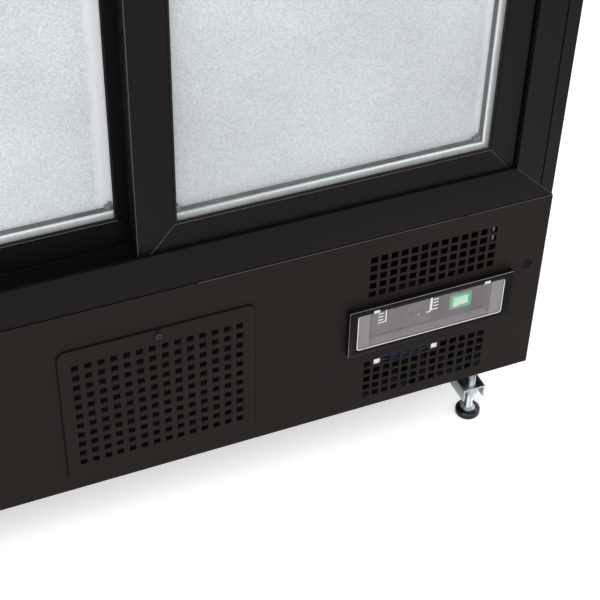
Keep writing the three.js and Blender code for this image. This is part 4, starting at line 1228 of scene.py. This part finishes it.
# ---- Interior ----
SHELF_RIM = 2.4 * MM
SHELF_CORNER = 8 * MM
SHELF_PITCH = 25 * MM


class FRIDGE_OT_interior(bpy.types.Operator):
    """Build the wire shelves and the lamp"""

    bl_idname = "fridge.interior"
    bl_label = "Interior"

    def execute(self, context):
        for level in ("lower", "upper"):
            wire_shelf("shelf_" + level, context.scene.fridge_sizes.shelf_wire / 2)
        refine("interior_lamp", 0.6 * MM, "lamp")
        return {"FINISHED"}


def wire_shelf(node, radius):
    """Round wires on two cross rails inside a heavier rim."""
    low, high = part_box(node)
    x0, y0, level = (place + SHELF_RIM for place in low)
    x1, y1, _ = (place - SHELF_RIM for place in high)
    rim = [(x, y, level) for x, y in rounded_loop(x0, x1, y0, y1, SHELF_CORNER, 5)]
    stand_in(node, node + "_rim", tube_mesh([rim + rim[:1]], SHELF_RIM))
    top, rail = high[2] - radius, level - 0.6 * MM
    count = int((x1 - x0) / SHELF_PITCH)
    places = [x0 + i * (x1 - x0) / count for i in range(1, count)]
    wires = [[(x, y0, top), (x, y1, top)] for x in places]
    wires += [[(x0, y, rail), (x1, y, rail)] for y in (y0 + share * (y1 - y0) for share in (0.3, 0.7))]
    show(node + "_wires", tube_mesh(wires, radius), "cabinet", "shelf_wire")


# ---- Studio ----
# The camera's tilt, roll and heading in degrees, and its place from the panel's corner in metres.
CAMERA_TURN = (48.7723, -1.3133, -22.7333)
CAMERA_FROM_CORNER = Vector((-0.7827, -1.1041, 1.2460))
# Each light's width, place and target, in metres.
SOFT_LIGHTS = {
    "key": (2.6, (-1.6, -1.8, 3.0), (0.1, -0.2, 0.4)),
    "fill": (2.2, (0.6, -3.2, 1.1), (0.1, 0, 0.4)),
    "rim": (1.6, (3.0, -0.6, 1.6), (0.3, 0, 0.3)),
}
FLOOR_REACH = 6.0


class FRIDGE_OT_stage(bpy.types.Operator):
    """Set the camera, soft lights, pale floor and white background"""

    bl_idname = "fridge.stage"
    bl_label = "Studio"

    def execute(self, context):
        studio = context.scene.fridge_studio
        place_camera(context.scene, studio.lens)
        pale_floor(tuple(studio.floor))
        white_world(context.scene, studio.surround)
        for name, (size, place, target) in SOFT_LIGHTS.items():
            soft_light(name, getattr(studio, name), size, place, target)
        context.scene.view_settings.view_transform = "Standard"
        return {"FINISHED"}


def place_camera(scene, lens):
    """The camera, set out from the lower right corner of the front panel."""
    low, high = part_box("front_panel")
    data = bpy.data.cameras.new("camera")
    data.lens = lens
    camera = bpy.data.objects.new("camera", data)
    camera.location = Vector((high[0], low[1], low[2])) + CAMERA_FROM_CORNER
    camera.rotation_euler = [math.radians(angle) for angle in CAMERA_TURN]
    scene.collection.objects.link(camera)
    scene.camera = camera


def soft_light(name, power, size, place, target):
    data = bpy.data.lights.new(name, "AREA")
    data.energy = power
    data.size = size
    light = bpy.data.objects.new(name, data)
    light.location = place
    light.rotation_euler = (Vector(target) - Vector(place)).to_track_quat("-Z", "Y").to_euler()
    bpy.context.scene.collection.objects.link(light)


def pale_floor(base):
    """A floor that keeps the fridge's shadow, and is white to the eye elsewhere."""
    form = bmesh.new()
    bmesh.ops.create_grid(form, x_segments=1, y_segments=1, size=FLOOR_REACH)
    mesh = mesh_of(form)
    finish = Finish("studio floor", base, 0.9, Specular_IOR_Level=0.1, Emission_Strength=0.45)
    finish.tint(finish.noise(3, 2), base, 0.99, 1)
    seen = finish.node("ShaderNodeLightPath", output="Is Camera Ray")
    finish.set("Emission Color", finish.blend(seen, (0, 0, 0), WHITE))
    mesh.materials.append(finish.material)
    floor = bpy.data.objects.new("floor", mesh)
    bpy.context.scene.collection.objects.link(floor)


def white_world(scene, strength):
    """A plain room light, seen by the camera as pure white."""
    scene.world = bpy.data.worlds.new("studio")
    room = Nodes(scene.world)
    seen = room.node("ShaderNodeLightPath", output="Is Camera Ray")
    light = room.node("ShaderNodeBackground", None, {"Color": WHITE, "Strength": strength})
    white = room.node("ShaderNodeBackground", None, {"Color": WHITE, "Strength": 1})
    mixed = room.node("ShaderNodeMixShader", None, {0: seen, 1: light, 2: white})
    room.link(room.tree.nodes["World Output"].inputs["Surface"], mixed)


# ---- Add-on ----
OPERATORS = (
    FRIDGE_OT_cabinet,
    FRIDGE_OT_surround,
    FRIDGE_OT_doors,
    FRIDGE_OT_lower_front,
    FRIDGE_OT_controller,
    FRIDGE_OT_undercarriage,
    FRIDGE_OT_refrigeration,
    FRIDGE_OT_interior,
    FRIDGE_OT_stage,
)


class FRIDGE_PT_panel(bpy.types.Panel):
    """Lists the fridge's operators and settings"""

    bl_idname = "FRIDGE_PT_panel"
    bl_label = "Under Counter Fridge"
    bl_space_type = "VIEW_3D"
    bl_region_type = "UI"
    bl_category = "Fridge"

    def draw(self, context):
        for operator in OPERATORS:
            self.layout.operator(operator.bl_idname)
        for group in SETTINGS:
            box = self.layout.box()
            settings = getattr(context.scene, group)
            for name in settings.__annotations__:
                box.prop(settings, name)


SETTINGS = {"fridge_colours": FridgeColours, "fridge_sizes": FridgeSizes, "fridge_studio": FridgeStudio}
CLASSES = (*SETTINGS.values(), *OPERATORS, FRIDGE_PT_panel)


def register():
    for each in CLASSES:
        bpy.utils.register_class(each)
    for name, group in SETTINGS.items():
        setattr(bpy.types.Scene, name, bpy.props.PointerProperty(type=group))


def unregister():
    for name in SETTINGS:
        delattr(bpy.types.Scene, name)
    for each in reversed(CLASSES):
        bpy.utils.unregister_class(each)


def main():
    register()
    FINISHES.update(all_finishes())
    for operator in OPERATORS:
        group, name = operator.bl_idname.split(".")
        getattr(getattr(bpy.ops, group), name)()


if __name__ == "__main__":
    main()
